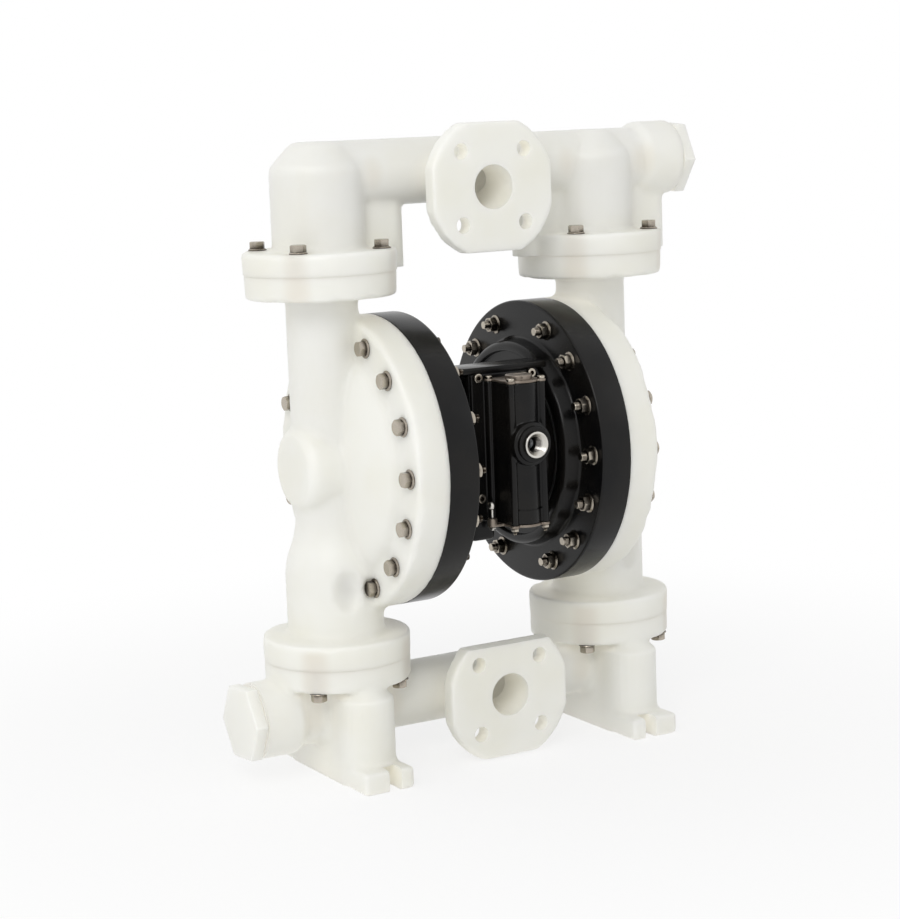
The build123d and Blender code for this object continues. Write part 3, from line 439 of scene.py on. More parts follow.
def twoTone(first, second, scale):
    def colour(start):
        patches = noise(start, objectPlace(start), scale, 3.0).rise(0.35, 0.65)
        return mixColours(start, patches, first, second)

    return colour


milkyPlastic = finished(
    "milkyPlastic",
    {"Subsurface Weight": 0.7, "Subsurface Radius": (0.016, 0.016, 0.016), "Subsurface Scale": 1.0,
     "IOR": 1.49, "Emission Strength": 1.0},
    milkyColour,
    varied(0.36, 0.48, 30.0),
    moulded(260.0, 0.12, 0.0004),
    paintedWallGlow,
)
blackPlastic = finished(
    "blackPlastic",
    {"IOR": 1.5, "Specular IOR Level": 0.22},
    twoTone((0.0030, 0.0030, 0.0034, 1), (0.0075, 0.0068, 0.0060, 1), 14.0),
    varied(0.18, 0.30, 22.0),
    moulded(420.0, 0.10, 0.0003),
)


# Metal with painted shade: browner and darker in its corners
def cornerShaded(shadeColour, ownColour, reach):
    def colour(start):
        # random unevenness in where the painted shade starts
        shadeJitter = noise(start, objectPlace(start), 110.0, 3.0) * 0.25 - 0.14
        return mixColours(start, (openness(start, reach) + shadeJitter).rise(0.64, 0.94), shadeColour, ownColour)

    return colour


# Stainless with painted shade in its corners
stainless = finished(
    "stainless",
    {"Metallic": 1.0},
    cornerShaded((0.035, 0.024, 0.016, 1), (0.47, 0.425, 0.36, 1), 0.012),
    varied(0.20, 0.30, 200.0),
    moulded(900.0, 0.05, 0.0002),
)
# Bright steel with painted shade in its corners
brightSteel = finished(
    "brightSteel",
    {"Metallic": 1.0},
    cornerShaded((0.16, 0.15, 0.14, 1), (0.62, 0.60, 0.56, 1), 0.012),
    varied(0.16, 0.28, 160.0),
)
brownMetal = finished(
    "brownMetal",
    {"Metallic": 0.8},
    twoTone((0.20, 0.165, 0.135, 1), (0.28, 0.24, 0.20, 1), 90.0),
    varied(0.30, 0.45, 120.0),
    moulded(500.0, 0.08, 0.0003),
)
brass = finished(
    "brass", {"Metallic": 1.0}, twoTone((0.72, 0.52, 0.25, 1), (0.62, 0.44, 0.20, 1), 120.0),
    varied(0.25, 0.4, 200.0),
)
blackRubber = finished(
    "blackRubber", {}, twoTone((0.02, 0.02, 0.02, 1), (0.035, 0.034, 0.033, 1), 60.0),
    varied(0.55, 0.7, 80.0), moulded(700.0, 0.15, 0.0003),
)
whiteSheet = finished(
    "whiteSheet", {}, twoTone((0.80, 0.79, 0.76, 1), (0.85, 0.84, 0.82, 1), 20.0),
    varied(0.4, 0.5, 60.0), moulded(500.0, 0.08, 0.0003),
)
ballPlastic = finished(
    "ballPlastic", {"IOR": 1.4}, twoTone((0.86, 0.86, 0.84, 1), (0.90, 0.90, 0.89, 1), 30.0),
    varied(0.28, 0.36, 60.0), moulded(600.0, 0.04, 0.0002),
)
seatPlastic = finished(
    "seatPlastic", {}, twoTone((0.72, 0.71, 0.66, 1), (0.78, 0.77, 0.72, 1), 40.0),
    varied(0.35, 0.5, 90.0), moulded(500.0, 0.08, 0.0003),
)
bushPlastic = finished(
    "bushPlastic", {}, twoTone((0.62, 0.56, 0.42, 1), (0.68, 0.62, 0.48, 1), 60.0),
    varied(0.35, 0.5, 90.0), moulded(500.0, 0.08, 0.0003),
)
aluminium = finished(
    "aluminium", {"Metallic": 1.0}, twoTone((0.70, 0.71, 0.72, 1), (0.78, 0.78, 0.79, 1), 150.0),
    varied(0.28, 0.42, 250.0), moulded(800.0, 0.06, 0.0002),
)

slotFinish = {
    "white_plastic": milkyPlastic,
    "black_plastic": blackPlastic,
    "stainless": stainless,
    "brass_insert": brass,
    "gasket_rubber": blackRubber,
    "seat_plastic": seatPlastic,
    "ball_plastic": ballPlastic,
    "diaphragm_rubber": whiteSheet,
    "plate_aluminium": aluminium,
    "bush_plastic": bushPlastic,
    "cap_metal": brownMetal,
    "insert_steel": brightSteel,
}
for subpart in frame["record"]["subparts"]:
    node = nodes[subpart["node"]]
    node.data.materials.clear()
    node.data.materials.append(slotFinish[subpart["material_slot"]])
print("materials ready")


# White fluid cap, drawn on the right side and mirrored to the left
fluidCap = {
    "rim": (118, 164),
    "radius": 174.7,
    "rimRound": 3,
    "domeRadius": 131,
    "domeTop": 192,
    "flange": 88,
    "lowerFlange": 87.2,  # at the joints, flush with the manifolds
    "upperFlange": 89.2,
    "flangeThick": 29,
    "neck": 42.5,
    "ballNeck": 57.5,
    "shoulder": (256, 294),
    "bossRadius": 50.5,
    "bossFace": 236,
    "bossRound": 13,
    "pocketAngles": (247.5, 292.5),  # the two bolts beside the lower neck
    "pocket": (13, 176),  # room for each one's head: radius and end
    "scoop": (201, 16.5, 29, 1.25),  # hollow that runs out of it: place, beyond the bolt, radius, height
    "spare": 6,  # grown past the joints, and cut back to them
    "bowl": (132, 128, 176),
    "chamber": 44,
    "chamberTop": 270,
    "ballZ": 171.3,
    "duct": 34,
    "seatRelief": 9,  # depth of the flat seats beside the lower neck
    "fillet": 16,
}


# Points of a shallow dome from its rim to its top, as (along, radius)
def domePoints(base, radius, top, count=9):
    rise = top - base
    ball = (radius * radius + rise * rise) / (2 * rise)
    reach = math.asin(radius / ball)
    turns = [reach * (1 - step / count) for step in range(count + 1)]
    return [(top - ball * (1 - math.cos(turn)), ball * math.sin(turn)) for turn in turns]


# Points of a flat-topped dome with steep edges, from its rim to its top
def lensPoints(base, radius, top, count=14):
    turns = [math.pi / 2 * step / count for step in range(count + 1)]
    return [(base + (top - base) * math.sin(turn), radius * math.cos(turn)) for turn in turns]


def fluidCapShells():
    size = fluidCap
    bm = bmesh.new()
    start, end = size["rim"]
    shaft = (0, 0, pump["shaftZ"])
    column = (pump["columnX"], 0, 0)
    disc = [(start, 0), (start, size["radius"]), (end, size["radius"], size["rimRound"])]
    turned(bm, disc + lensPoints(end, size["domeRadius"], size["domeTop"]), xAxis, shaft)
    low, high = pump["lowerJointZ"], pump["upperJointZ"]
    thick = size["flangeThick"]
    turned(bm, [
        (low - size["spare"], 0),
        (low - size["spare"], size["lowerFlange"]),
        (low + thick, size["flange"], 3),
        (low + thick, size["ballNeck"]),
        (size["shoulder"][0], size["ballNeck"], 16),
        (size["shoulder"][1], size["neck"], 16),
        (high - thick, size["neck"]),
        (high - thick, size["flange"], 3),
        (high + size["spare"], size["upperFlange"]),
        (high + size["spare"], 0),
    ], zAxis, column)
    turned(bm, [
        (end, 0), (end, size["bossRadius"]), (size["bossFace"], size["bossRadius"], size["bossRound"]),
        (size["bossFace"], 0),
    ], xAxis, shaft)
    return bm


def ringPlaces(radius, angles, centreZ):
    turns = [math.radians(angle) for angle in angles]
    return [(radius * math.cos(turn), centreZ + radius * math.sin(turn)) for turn in turns]


def flangePlaces():
    reach = pump["flangeBoltReach"]
    return [(pump["columnX"] + along * reach, across * reach) for along in (-1, 1) for across in (-1, 1)]


def makeFluidCap():
    size = fluidCap
    shaft = (0, 0, pump["shaftZ"])
    hollows = []
    pocket, pocketEnd = size["pocket"]
    scoopX, beyond, radius, tall = size["scoop"]
    for y, z in ringPlaces(pump["capBoltCircle"], size["pocketAngles"], pump["shaftZ"]):
        hollows.append(shape(bar, pocket, size["rim"][1], pocketEnd, xAxis, (0, y, z), steps=48))
        scoop = bmesh.new()
        middle = Vector((scoopX, y + math.copysign(beyond, y), z)) * mm
        stretch = Matrix.Translation(middle) @ Matrix.Diagonal((1, 1, tall, 1))
        bmesh.ops.create_icosphere(scoop, subdivisions=4, radius=radius * mm, matrix=stretch)
        hollows.append(scoop)
    piece = cast("rightFluidCap", fluidCapShells(), milkyPlastic, pump["voxel"], size["fillet"], 3, hollows)
    column = (pump["columnX"], 0, 0)
    low, high = pump["lowerJointZ"], pump["upperJointZ"]
    seatRadius, seatDepth = pump["seatPocket"]
    wallStart, wallRadius, wallTop = size["bowl"]
    bowl = [(100, 0), (100, 142), (126, 142), (126, wallRadius), (wallStart, wallRadius)]
    bowl += domePoints(wallStart, wallRadius, wallTop)[1:]
    cutters = [
        shape(block, (60, -90, high), (300, 90, high + 20)),
        shape(block, (60, -90, low - 20), (300, 90, low)),
        shape(block, (110, -200, 190), (124, 200, 550)),
        shape(turned, bowl, xAxis, shaft),
        shape(turned, [
            (low - 10, 0),
            (low - 10, seatRadius),
            (low + seatDepth, seatRadius),
            (low + seatDepth, size["chamber"]),
            (size["shoulder"][0], size["chamber"]),
            (size["chamberTop"], size["duct"]),
            (high + 10, size["duct"]),
            (high + 10, 0),
        ], zAxis, column),
    ]
    rimFace = size["rim"][1]
    for y, z in ringPlaces(pump["capBoltCircle"], size["pocketAngles"], pump["shaftZ"]):
        end = rimFace + size["seatRelief"]
        cutters.append(shape(bar, pump["boltSeat"], rimFace, end, xAxis, (0, y, z), steps=48))
    for y, z in ringPlaces(pump["capBoltCircle"], pump["capBoltAngles"], pump["shaftZ"]):
        cutters.append(shape(bar, pump["boltHole"], 100, 180, xAxis, (0, y, z), steps=24))
    combine(piece, cutters)
    addCage(piece, low + seatDepth)
    finishSurface(piece, 40)
    return piece


cage = {
    "half": 3.5,
    "guide": 33,  # the ribs' inner edge from the column's middle
    "stop": 20,
    "stopThick": 8,
    "lift": 14.3,
    "edge": 0.8,
}


# Ribs that guide the lower check ball, with stops over it
def addCage(piece, seatTop):
    size = cage
    half, edge = size["half"], size["edge"]
    wall = fluidCap["chamber"] + 3
    stopZ = fluidCap["ballZ"] + pump["ballRadius"] + size["lift"]
    column = Matrix.Translation(xAxis * pump["columnX"] * mm)
    for angle in (45, 135, 225, 315):
        bm = bmesh.new()
        block(bm, (size["guide"], -half, seatTop), (wall, half, stopZ + 0.5), edge)
        block(bm, (size["stop"], -half, stopZ), (wall, half, stopZ + size["stopThick"]), edge)
        turn = Matrix.Rotation(math.radians(angle), 4, "Z")
        bmesh.ops.transform(bm, matrix=column @ turn, verts=bm.verts)
        combine(piece, [bm], "UNION")


rightFluidCap = makeFluidCap()
leftFluidCap = mirrored("leftFluidCap", rightFluidCap)
fit(rightFluidCap, "pump", "white_plastic", "right_fluid_cap")
fit(leftFluidCap, "pump", "white_plastic", "left_fluid_cap")
print("fluid caps cast,", len(rightFluidCap.data.polygons), "faces each")

port = {
    "face": -86.5,
    "thick": 22,
    "radius": 85,
    "halfWidth": 81,
    "halfHeight": 75.5,
    "bore": 26,
    "holeReach": 42.66,
    "holeRadius": 9.5,
}


# A port flange and its neck, round the given height
def addPort(bm, height):
    size = port
    part = bmesh.new()
    bar(part, size["radius"], size["face"], size["face"] + size["thick"], yAxis, (0, 0, height), steps=96)
    flats = ((xAxis, size["halfWidth"]), (zAxis, size["halfHeight"]))
    for direction, reach in flats:
        for side in (-1, 1):
            geometry = part.verts[:] + part.edges[:] + part.faces[:]
            cut = bmesh.ops.bisect_plane(
                part, geom=geometry, plane_co=Vector((0, 0, height)) * mm + direction * side * reach * mm,
                plane_no=direction * side, clear_outer=True,
            )
            edges = [item for item in cut["geom_cut"] if isinstance(item, bmesh.types.BMEdge)]
            bmesh.ops.holes_fill(part, edges=edges, sides=0)
    bmesh.ops.recalc_face_normals(part, faces=part.faces)
    addTo(bm, part)
    bar(bm, pump["pipeRadius"], size["face"] + size["thick"] - 2, 0, yAxis, (0, 0, height))


def portCutters(height):
    size = port
    cutters = [shape(bar, size["bore"], size["face"] - 10, 0, yAxis, (0, 0, height), steps=72)]
    for across in (-1, 1):
        for up in (-1, 1):
            centre = (across * size["holeReach"], 0, height + up * size["holeReach"])
            ends = (size["face"] - 10, size["face"] + 40)
            cutters.append(shape(bar, size["holeRadius"], *ends, yAxis, centre, steps=40))
    return cutters


# A pipe from its far end to the collar of its plug, for an outlet that ends on the right
def pipePoints(start, spare):
    swell, collar = pump["collarTaper"]
    return [
        (start, 0),
        (start, pump["pipeRadius"]),
        (swell, pump["pipeRadius"], 2),
        (collar, pump["collarRadius"], 3),
        (pump["collarEnd"] + spare, pump["collarRadius"]),
        (pump["collarEnd"] + spare, 0),
    ]


outlet = {
    "pipeZ": 710,
    "portZ": 689,
    "flange": 91,
    "flangeTop": 625,
    "tower": 54.5,
    "towerTop": 749,
    "chamfer": 27,
    "chamferRound": 7,
    "ribRadius": 20.5,
    "ribReach": 88,
    "duct": 47,
    "roofStart": 714.5,  # where the tower's bore narrows to its roof
    "roofTop": 741.5,
    "roof": 20,
    "fillet": 9,
    "spare": 6,
}


def makeOutletManifold():
    size = outlet
    joint = pump["upperJointZ"]
    bm = bmesh.new()
    turned(bm, pipePoints(-pump["columnX"], size["spare"]), xAxis, (0, 0, size["pipeZ"]))
    for side in (-1, 1):
        turned(bm, [
            (joint - size["spare"], 0),
            (joint - size["spare"], size["flange"] - 1.5),
            (size["flangeTop"], size["flange"], 3),
            (size["flangeTop"], size["tower"]),
            (size["towerTop"] - size["chamfer"] - 2, size["tower"], size["chamferRound"]),
            (size["towerTop"], size["tower"] - size["chamfer"], size["chamferRound"]),
            (size["towerTop"], 0),
        ], zAxis, (side * pump["columnX"], 0, 0))
    for centre, direction in ((-pump["columnX"], 1), (pump["columnX"], -1), (pump["columnX"], 1)):
        middle = centre + direction * size["ribReach"]
        foot = joint - size["spare"]
        bar(bm, size["ribRadius"], foot, size["pipeZ"], zAxis, (middle, 0, 0))
        ends = sorted((centre, middle))
        block(bm, (ends[0], -size["ribRadius"], foot), (ends[1], size["ribRadius"], size["pipeZ"]))
    addPort(bm, size["portZ"])
    piece = cast("outletManifold", bm, milkyPlastic, pump["voxel"], size["fillet"])
    seatRadius, seatDepth = pump["seatPocket"]
    cutters = [
        shape(block, (-300, -100, joint - 20), (300, 100, joint)),
        shape(block, (pump["collarEnd"], -60, size["pipeZ"] - 60), (330, 60, size["pipeZ"] + 60)),
        shape(bar, pump["pipeBore"], -pump["columnX"], 330, xAxis, (0, 0, size["pipeZ"])),
        shape(bar, pump["plugThread"], pump["collarEnd"] - 30, 330, xAxis, (0, 0, size["pipeZ"])),
    ]
    cutters += portCutters(size["portZ"])
    for side in (-1, 1):
        cutters.append(shape(turned, [
            (joint - 10, 0),
            (joint - 10, seatRadius),
            (joint + seatDepth, seatRadius),
            (joint + seatDepth, size["duct"]),
            (size["roofStart"], size["duct"]),
            (size["roofTop"], size["roof"]),
            (size["roofTop"], 0),
        ], zAxis, (side * pump["columnX"], 0, 0), steps=96))
        for x, y in flangePlaces():
            hole = (pump["boltHole"], joint - 10, size["flangeTop"] + 15)
            cutters.append(shape(bar, *hole, zAxis, (side * x, y, 0), steps=24))
    combine(piece, cutters)
    finishSurface(piece, 40)
    return piece


outletManifold = makeOutletManifold()
fit(outletManifold, "pump", "white_plastic", "outlet_manifold")
print("outlet manifold cast,", len(outletManifold.data.polygons), "faces")

inlet = {
    "pipeZ": 78.5,
    "flange": 87,
    "flangeLow": 114,
    "elbow": 52,
    "duct": 33,
    "footReach": 121.8,
    "footHalf": 32.5,
    "footThick": 26,
    "slotHalf": 8.5,
    "slotEnd": 96.8,
    "slotX": 181,
    "slotSpare": 0.5,
    "legReach": 69,
    "legChamfer": 12,
    "fillet": 9,
    "spare": 6,
}


# The stadium outline of a leg at one height, as points round it
def stadium(half, reach, height, x):
    points = []
    for step in range(24):
        turn = math.pi * (step // 12) + math.pi * (step % 12) / 11
        side = 1 if step < 12 else -1
        points.append((x + half * math.cos(turn), side * reach + half * math.sin(turn), height))
    return points


def makeInletManifold():
    size = inlet
    joint = pump["lowerJointZ"]
    bm = bmesh.new()
    turned(bm, [(-along, *rest) for along, *rest in pipePoints(-pump["columnX"], size["spare"])], xAxis,
           (0, 0, size["pipeZ"]))
    for side in (-1, 1):
        x = side * pump["columnX"]
        turned(bm, [
            (20, 0),
            (45, size["elbow"], 16),
            (size["flangeLow"], size["elbow"]),
            (size["flangeLow"], size["flange"], 3),
            (joint + size["spare"], size["flange"]),
            (joint + size["spare"], 0),
        ], zAxis, (x, 0, 0))
        top = size["flangeLow"] + 1
        pushed(bm, stadium(size["footHalf"], size["legReach"], 0, x), 0, (0, 0, top - size["legChamfer"]))
        cone = bmesh.new()
        pushed(cone, stadium(size["footHalf"], size["legReach"], top - size["legChamfer"], x), 0,
               (0, 0, size["legChamfer"]))
        upper = [vert for vert in cone.verts if vert.co.z > (top - 1) * mm]
        for vert in upper:
            vert.co.x = x * mm + (vert.co.x - x * mm) * (1 - size["legChamfer"] / size["footHalf"])
            vert.co.y -= math.copysign(size["legChamfer"] * mm, vert.co.y)
        addTo(bm, cone)
        block(bm, (x - size["footHalf"], -size["footReach"], 0),
              (x + size["footHalf"], size["footReach"], size["footThick"]), 4)
    addPort(bm, size["pipeZ"])
    piece = cast("inletManifold", bm, milkyPlastic, pump["voxel"], size["fillet"])
    cutters = [
        shape(block, (-300, -130, joint), (300, 130, joint + 20)),
        shape(block, (-300, -150, -20), (300, 150, 0)),
        shape(block, (-330, -60, size["pipeZ"] - 60), (-pump["collarEnd"], 60, size["pipeZ"] + 60)),
        shape(bar, pump["pipeBore"], -330, pump["columnX"] + 31, xAxis, (0, 0, size["pipeZ"])),
        shape(bar, pump["plugThread"], -330, 30 - pump["collarEnd"], xAxis, (0, 0, size["pipeZ"])),
    ]
    cutters += portCutters(size["pipeZ"])
    for side in (-1, 1):
        x = side * pump["columnX"]
        cutters.append(shape(bar, size["duct"], size["pipeZ"], joint + 10, zAxis, (x, 0, 0), steps=72))
        slotX = side * size["slotX"]
        half, end, high = size["slotHalf"], size["slotEnd"], size["footThick"] + size["slotSpare"]
        for front in (-1, 1):
            near, far = sorted((front * end, front * 140))
            cutters.append(shape(block, (slotX - half, near, -10), (slotX + half, far, high)))
            cutters.append(shape(bar, half, -10, high, zAxis, (slotX, front * end, 0), steps=48))
        for boltX, y in flangePlaces():
            hole = (pump["boltHole"], 100, joint + 10)
            cutters.append(shape(bar, *hole, zAxis, (side * boltX, y, 0), steps=24))
    combine(piece, cutters)
    finishSurface(piece, 40)
    return piece


inletManifold = makeInletManifold()
fit(inletManifold, "pump", "white_plastic", "inlet_manifold")
print("inlet manifold cast,", len(inletManifold.data.polygons), "faces")

# Hexagon blanking plugs and their sealing rings
plug = {
    "corner": 48.5,  # hexagon 84 mm across its flats
    "turned": 4,
    "head": (305, 320.7),
    "edge": 2,
    "gasket": (303, 44.6),
    "thread": (273, 305),
    "threadRadius": 32.9,
    "hollow": 23.5,
}


def makePlug(name, side, height, replaced):
    size = plug
    bm = bmesh.new()
    start, end = size["head"]
    points = []
    for corner in range(6):
        angle = math.radians(60 * corner + side * size["turned"])
        points.append((side * start, size["corner"] * math.cos(angle),
                       height + size["corner"] * math.sin(angle)))
    pushed(bm, points, 1.2, (side * (end - start), 0, 0), size["edge"])
    piece = makeObject(name, bm, milkyPlastic)
    near, far = size["thread"]
    neck = shape(bar, size["threadRadius"], side * near, side * (far + 2), xAxis, (0, 0, height), steps=72)
    combine(piece, [neck], "UNION")
    ends = (side * (near - 5), side * (far - 2))
    combine(piece, [shape(bar, size["hollow"], *ends, xAxis, (0, 0, height), steps=72)])
    finishSurface(piece)
    fit(piece, "pump", "white_plastic", replaced)


def makePlugGaskets():
    start, radius = plug["gasket"]
    end = plug["head"][0]
    inner = plug["threadRadius"] + 0.3
    bm = bmesh.new()
    for side, height in ((1, outlet["pipeZ"]), (-1, inlet["pipeZ"])):
        near, far = side * start, side * end
        ring = [(near, inner), (near, radius, 0.6), (far, radius, 0.6), (far, inner)]
        turned(bm, ring, xAxis, (0, 0, height))
    return makeObject("plugGaskets", bm, milkyPlastic)


makePlug("outletPlug", 1, outlet["pipeZ"], "outlet_plug")
makePlug("inletPlug", -1, inlet["pipeZ"], "inlet_plug")
fit(makePlugGaskets(), "pump", "seat_plastic", "plug_gaskets")
print("plugs ready")

# Black air caps between the diaphragms and the centre body
airCap = {
    "joint": 124,
    "rim": 84,
    "radius": 174.7,
    "hub": 62,
    "hubBase": 129,
    "hubTop": 125,
    "recess": 114,
    "bulkhead": (68, 80),
    "chamber": 128,
    "floor": 112,
    "bead": (134, 142),
    "shaftHole": 13.5,
    "sealHole": (18, 74),
    "pilotHole": 9,
    "pilotRise": 34,
    "hubScrews": (54, 4.5),
}


def makeAirCap():
    size = airCap
    shaft = (0, 0, pump["shaftZ"])
    inner, outer = size["bead"]
    back, front = size["bulkhead"]
    joint = size["joint"]
    piece = makeObject("rightAirCap", shape(turned, [
        (joint - 2, size["chamber"]),
        (joint - 2, inner),
        (joint - 4, inner),
        (joint - 4, outer),
        (joint, outer),
        (joint, size["radius"], 0.8),
        (size["rim"], size["radius"], 3),
        (size["rim"], size["hubBase"], 4),
        (size["hub"], size["hubTop"], 6),
        (size["hub"], size["recess"], 2),
        (back, size["recess"], 1.5),
        (back, size["shaftHole"]),
        (front, size["shaftHole"]),
        (front, size["floor"], 3),
    ], xAxis, shaft, steps=192), blackPlastic)
    pilot = (0, 0, pump["shaftZ"] + size["pilotRise"])
    cutters = [
        shape(bar, size["sealHole"][0], back - 3, size["sealHole"][1], xAxis, shaft),
        shape(bar, size["pilotHole"], back - 3, front + 3, xAxis, pilot),
    ]
    for y, z in ringPlaces(pump["capBoltCircle"], pump["capBoltAngles"], pump["shaftZ"]):
        cutters.append(shape(bar, pump["boltHole"], size["rim"] - 5, joint + 5, xAxis, (0, y, z), steps=24))
    circle, hole = size["hubScrews"]
    for y, z in ringPlaces(circle, range(0, 360, 60), pump["shaftZ"]):
        cutters.append(shape(bar, hole, back - 3, front + 3, xAxis, (0, y, z), steps=24))
    combine(piece, cutters)
    finishSurface(piece, 34)
    return piece


rightAirCap = makeAirCap()
leftAirCap = mirrored("leftAirCap", rightAirCap)
fit(rightAirCap, "pump", "black_plastic", "right_air_cap")
fit(leftAirCap, "pump", "black_plastic", "left_air_cap")
print("air caps ready")

# Centre body with its ledge, lug and exhaust
centre = {
    "half": 46,
    "front": -88,
    "back": 80,
    "wallBack": -50,
    "wallTop": 472.5,
    "shoulder": 432,
    "bottom": 290,
    "barrel": 78,
    "pad": (100, 51, 67),
    "ledge": (61.5, -92, 480),
    "ledgeGroove": (-91, 476, 477),
    "lug": ((-46, -88, 272), (-14, -54, 300)),
    "exhaust": {"radius": 24, "end": 104, "bore": 12.1, "depth": 22, "groove": 1.1, "pitch": 1.8},
    "bush": (18, 41),
    "pilotRod": 6,
    "hubScrew": (4.1, 38),
    "fillet": 6,
}


# Screws of the valve's flange in the front wall
mountScrew = {
    "reach": 37,
    "rows": (325, 468),
    "hole": 3.1,
    "radius": 5.5,
    "shank": 3,
    "socket": (2.3, 2.6, 3),  # radius at its bottom and its mouth, and its depth
    "seat": -94,
    "height": 5,
    "end": -76,
}


def mountScrewPlaces():
    return [(side * mountScrew["reach"], z) for side in (-1, 1) for z in mountScrew["rows"]]


def makeCentreBody():
    size = centre
    shaft = (0, 0, pump["shaftZ"])
    half, front, bottom = size["half"], size["front"], size["bottom"]
    padRadius, padStart, padEnd = size["pad"]
    exhaust = size["exhaust"]
    bm = bmesh.new()
    bar(bm, size["barrel"], 2 - padEnd, padEnd - 2, xAxis, shaft, steps=128)
    for side in (-1, 1):
        bar(bm, padRadius, side * padStart, side * padEnd, xAxis, shaft, steps=128)
    block(bm, (-half, front, bottom), (half, size["back"], size["shoulder"]), 5)
    block(bm, (-half, front, bottom), (half, size["wallBack"], size["wallTop"]), 5)
    block(bm, *size["lug"], 5)
    bar(bm, exhaust["radius"], 0, exhaust["end"], yAxis, shaft)
    piece = cast("centreBody", bm, blackPlastic, pump["fineVoxel"] * 2, size["fillet"])
    reach, lip, top = size["ledge"]
    ledge = shape(block, (-reach, lip, size["wallTop"]), (reach, size["wallBack"], top), 1)
    within = half - 4
    neck = shape(block, (-within, front + 4, size["wallTop"] - 8), (within, size["wallBack"] - 4, top - 2))
    combine(piece, [neck, ledge], "UNION")
    past = 90  # beyond both pads
    cutters = [
        shape(bar, airCap["shaftHole"], -past, past, xAxis, shaft),
        shape(bar, size["pilotRod"], -past, past, xAxis, (0, 0, pump["shaftZ"] + airCap["pilotRise"])),
    ]
    bushRadius, bushEnd = size["bush"]
    screwRadius, screwEnd = size["hubScrew"]
    for side in (-1, 1):
        cutters.append(shape(bar, bushRadius, side * bushEnd, side * past, xAxis, shaft))
        hole = (screwRadius, side * screwEnd, side * past)
        for y, z in ringPlaces(airCap["hubScrews"][0], range(0, 360, 60), pump["shaftZ"]):
            cutters.append(shape(bar, *hole, xAxis, (0, y, z), steps=24))
    groove = bmesh.new()
    grooveOuter = exhaust["bore"] + exhaust["groove"]
    threaded(groove, grooveOuter, exhaust["pitch"], exhaust["groove"], exhaust["depth"] + 3, steps=48)
    mouth = bmesh.new()
    start = exhaust["end"] - exhaust["depth"]
    placed(mouth, groove, aimed((0, start, pump["shaftZ"]), yAxis))
    cutters.append(mouth)
    grooveBack, grooveLow, grooveHigh = size["ledgeGroove"]
    cutters.append(shape(block, (-reach - 5, lip - 5, grooveLow), (reach + 5, grooveBack, grooveHigh)))
    hole = (mountScrew["hole"], front - 5, mountScrew["end"] + 1)
    cutters += [shape(bar, *hole, yAxis, (x, 0, z), steps=24) for x, z in mountScrewPlaces()]
    combine(piece, cutters)
    finishSurface(piece, 40)
    return piece


centreBody = makeCentreBody()
fit(centreBody, "pump", "black_plastic", "center_body")
print("centre body cast,", len(centreBody.data.polygons), "faces")

# Air valve on the front of the centre body
valve = {
    "half": 22.5,
    "depth": 50.5,
    "flange": (45, -94, 472),
    "bottom": 297,
    "top": 464,
    "housing": 22,
    "sleeve": 17.05,
    "column": 4.5,
    "columns": ((21, -143), (24, -99)),
    "screwHole": 2.6,
    "split": (314, 316, 16.5, 1.2),
    "inletZ": 392.8,
    "inletBoss": (25.7, -155),
    "inletCollar": (21.5, -160),
    "inletBack": -130,
    "insertRadius": 15.6,
    "insertEnd": -146,
    "passage": 7,
    "capThick": 3,
    "capBack": -94.2,
    "overhang": 1,
    "fillet": 1.5,
}


def valveScrewPlaces():
    return [(side * x, y) for side in (-1, 1) for x, y in valve["columns"]]


# The valve's outline between two heights, wider by a margin
def addValveOutline(bm, margin, back, low, high):
    size = valve
    front = pump["valveBackY"] - size["depth"]
    half = size["half"] + margin
    block(bm, (-half, front - margin, low), (half, back, high))
    bar(bm, size["housing"] + margin, low, high, zAxis, (0, pump["spoolY"], 0))
    for x, y in valveScrewPlaces():
        bar(bm, size["column"] + margin, low, high, zAxis, (x, y, 0))


def makeValveBody():
    size = valve
    bm = bmesh.new()
    addValveOutline(bm, 0, pump["valveBackY"], size["bottom"], size["top"])
    reach, face, top = size["flange"]
    block(bm, (-reach, face, size["bottom"]), (reach, pump["valveBackY"], top), 1)
    bossRadius, bossFace = size["inletBoss"]
    collarRadius, collarFace = size["inletCollar"]
    inletPlace = (0, 0, size["inletZ"])
    bar(bm, bossRadius, bossFace, size["inletBack"], yAxis, inletPlace, steps=96, endRound=1.5)
    bar(bm, collarRadius, collarFace, size["inletBack"], yAxis, inletPlace, steps=96, endRound=1)
    piece = cast("valveBody", bm, blackPlastic, pump["fineVoxel"], size["fillet"], 2)
    spool = (0, pump["spoolY"], 0)
    low, high, half, depth = size["split"]
    inner = size["housing"] - depth
    groove = makeObject("groove", shape(turned, [
        (low, inner), (low, size["housing"] + 2), (high, size["housing"] + 2), (high, inner),
    ], zAxis, spool), blackPlastic, smooth=False)
    front = shape(block, (-half, pump["spoolY"] - 40, low - 5), (half, pump["spoolY"], high + 5))
    combine(groove, [front], "INTERSECT")
    cutters = [
        shape(bmesh.types.BMesh.from_mesh, groove.data),
        shape(bar, size["sleeve"], size["bottom"] - 5, size["top"] + 5, zAxis, spool),
        shape(bar, size["insertRadius"], collarFace - 5, size["insertEnd"], yAxis, inletPlace),
        shape(bar, size["passage"], size["insertEnd"] - 1, pump["spoolY"], yAxis, inletPlace, steps=40),
    ]
    bpy.data.objects.remove(groove)
    for x, y in valveScrewPlaces():
        for start, end in ((size["top"] - 16, size["top"] + 5), (size["bottom"] - 5, size["bottom"] + 16)):
            cutters.append(shape(bar, size["screwHole"], start, end, zAxis, (x, y, 0), steps=24))
    hole = (mountScrew["hole"], face - 5, pump["valveBackY"] + 5)
    cutters += [shape(bar, *hole, yAxis, (x, 0, z), steps=24) for x, z in mountScrewPlaces()]
    combine(piece, cutters)
    finishSurface(piece, 34)
    return piece


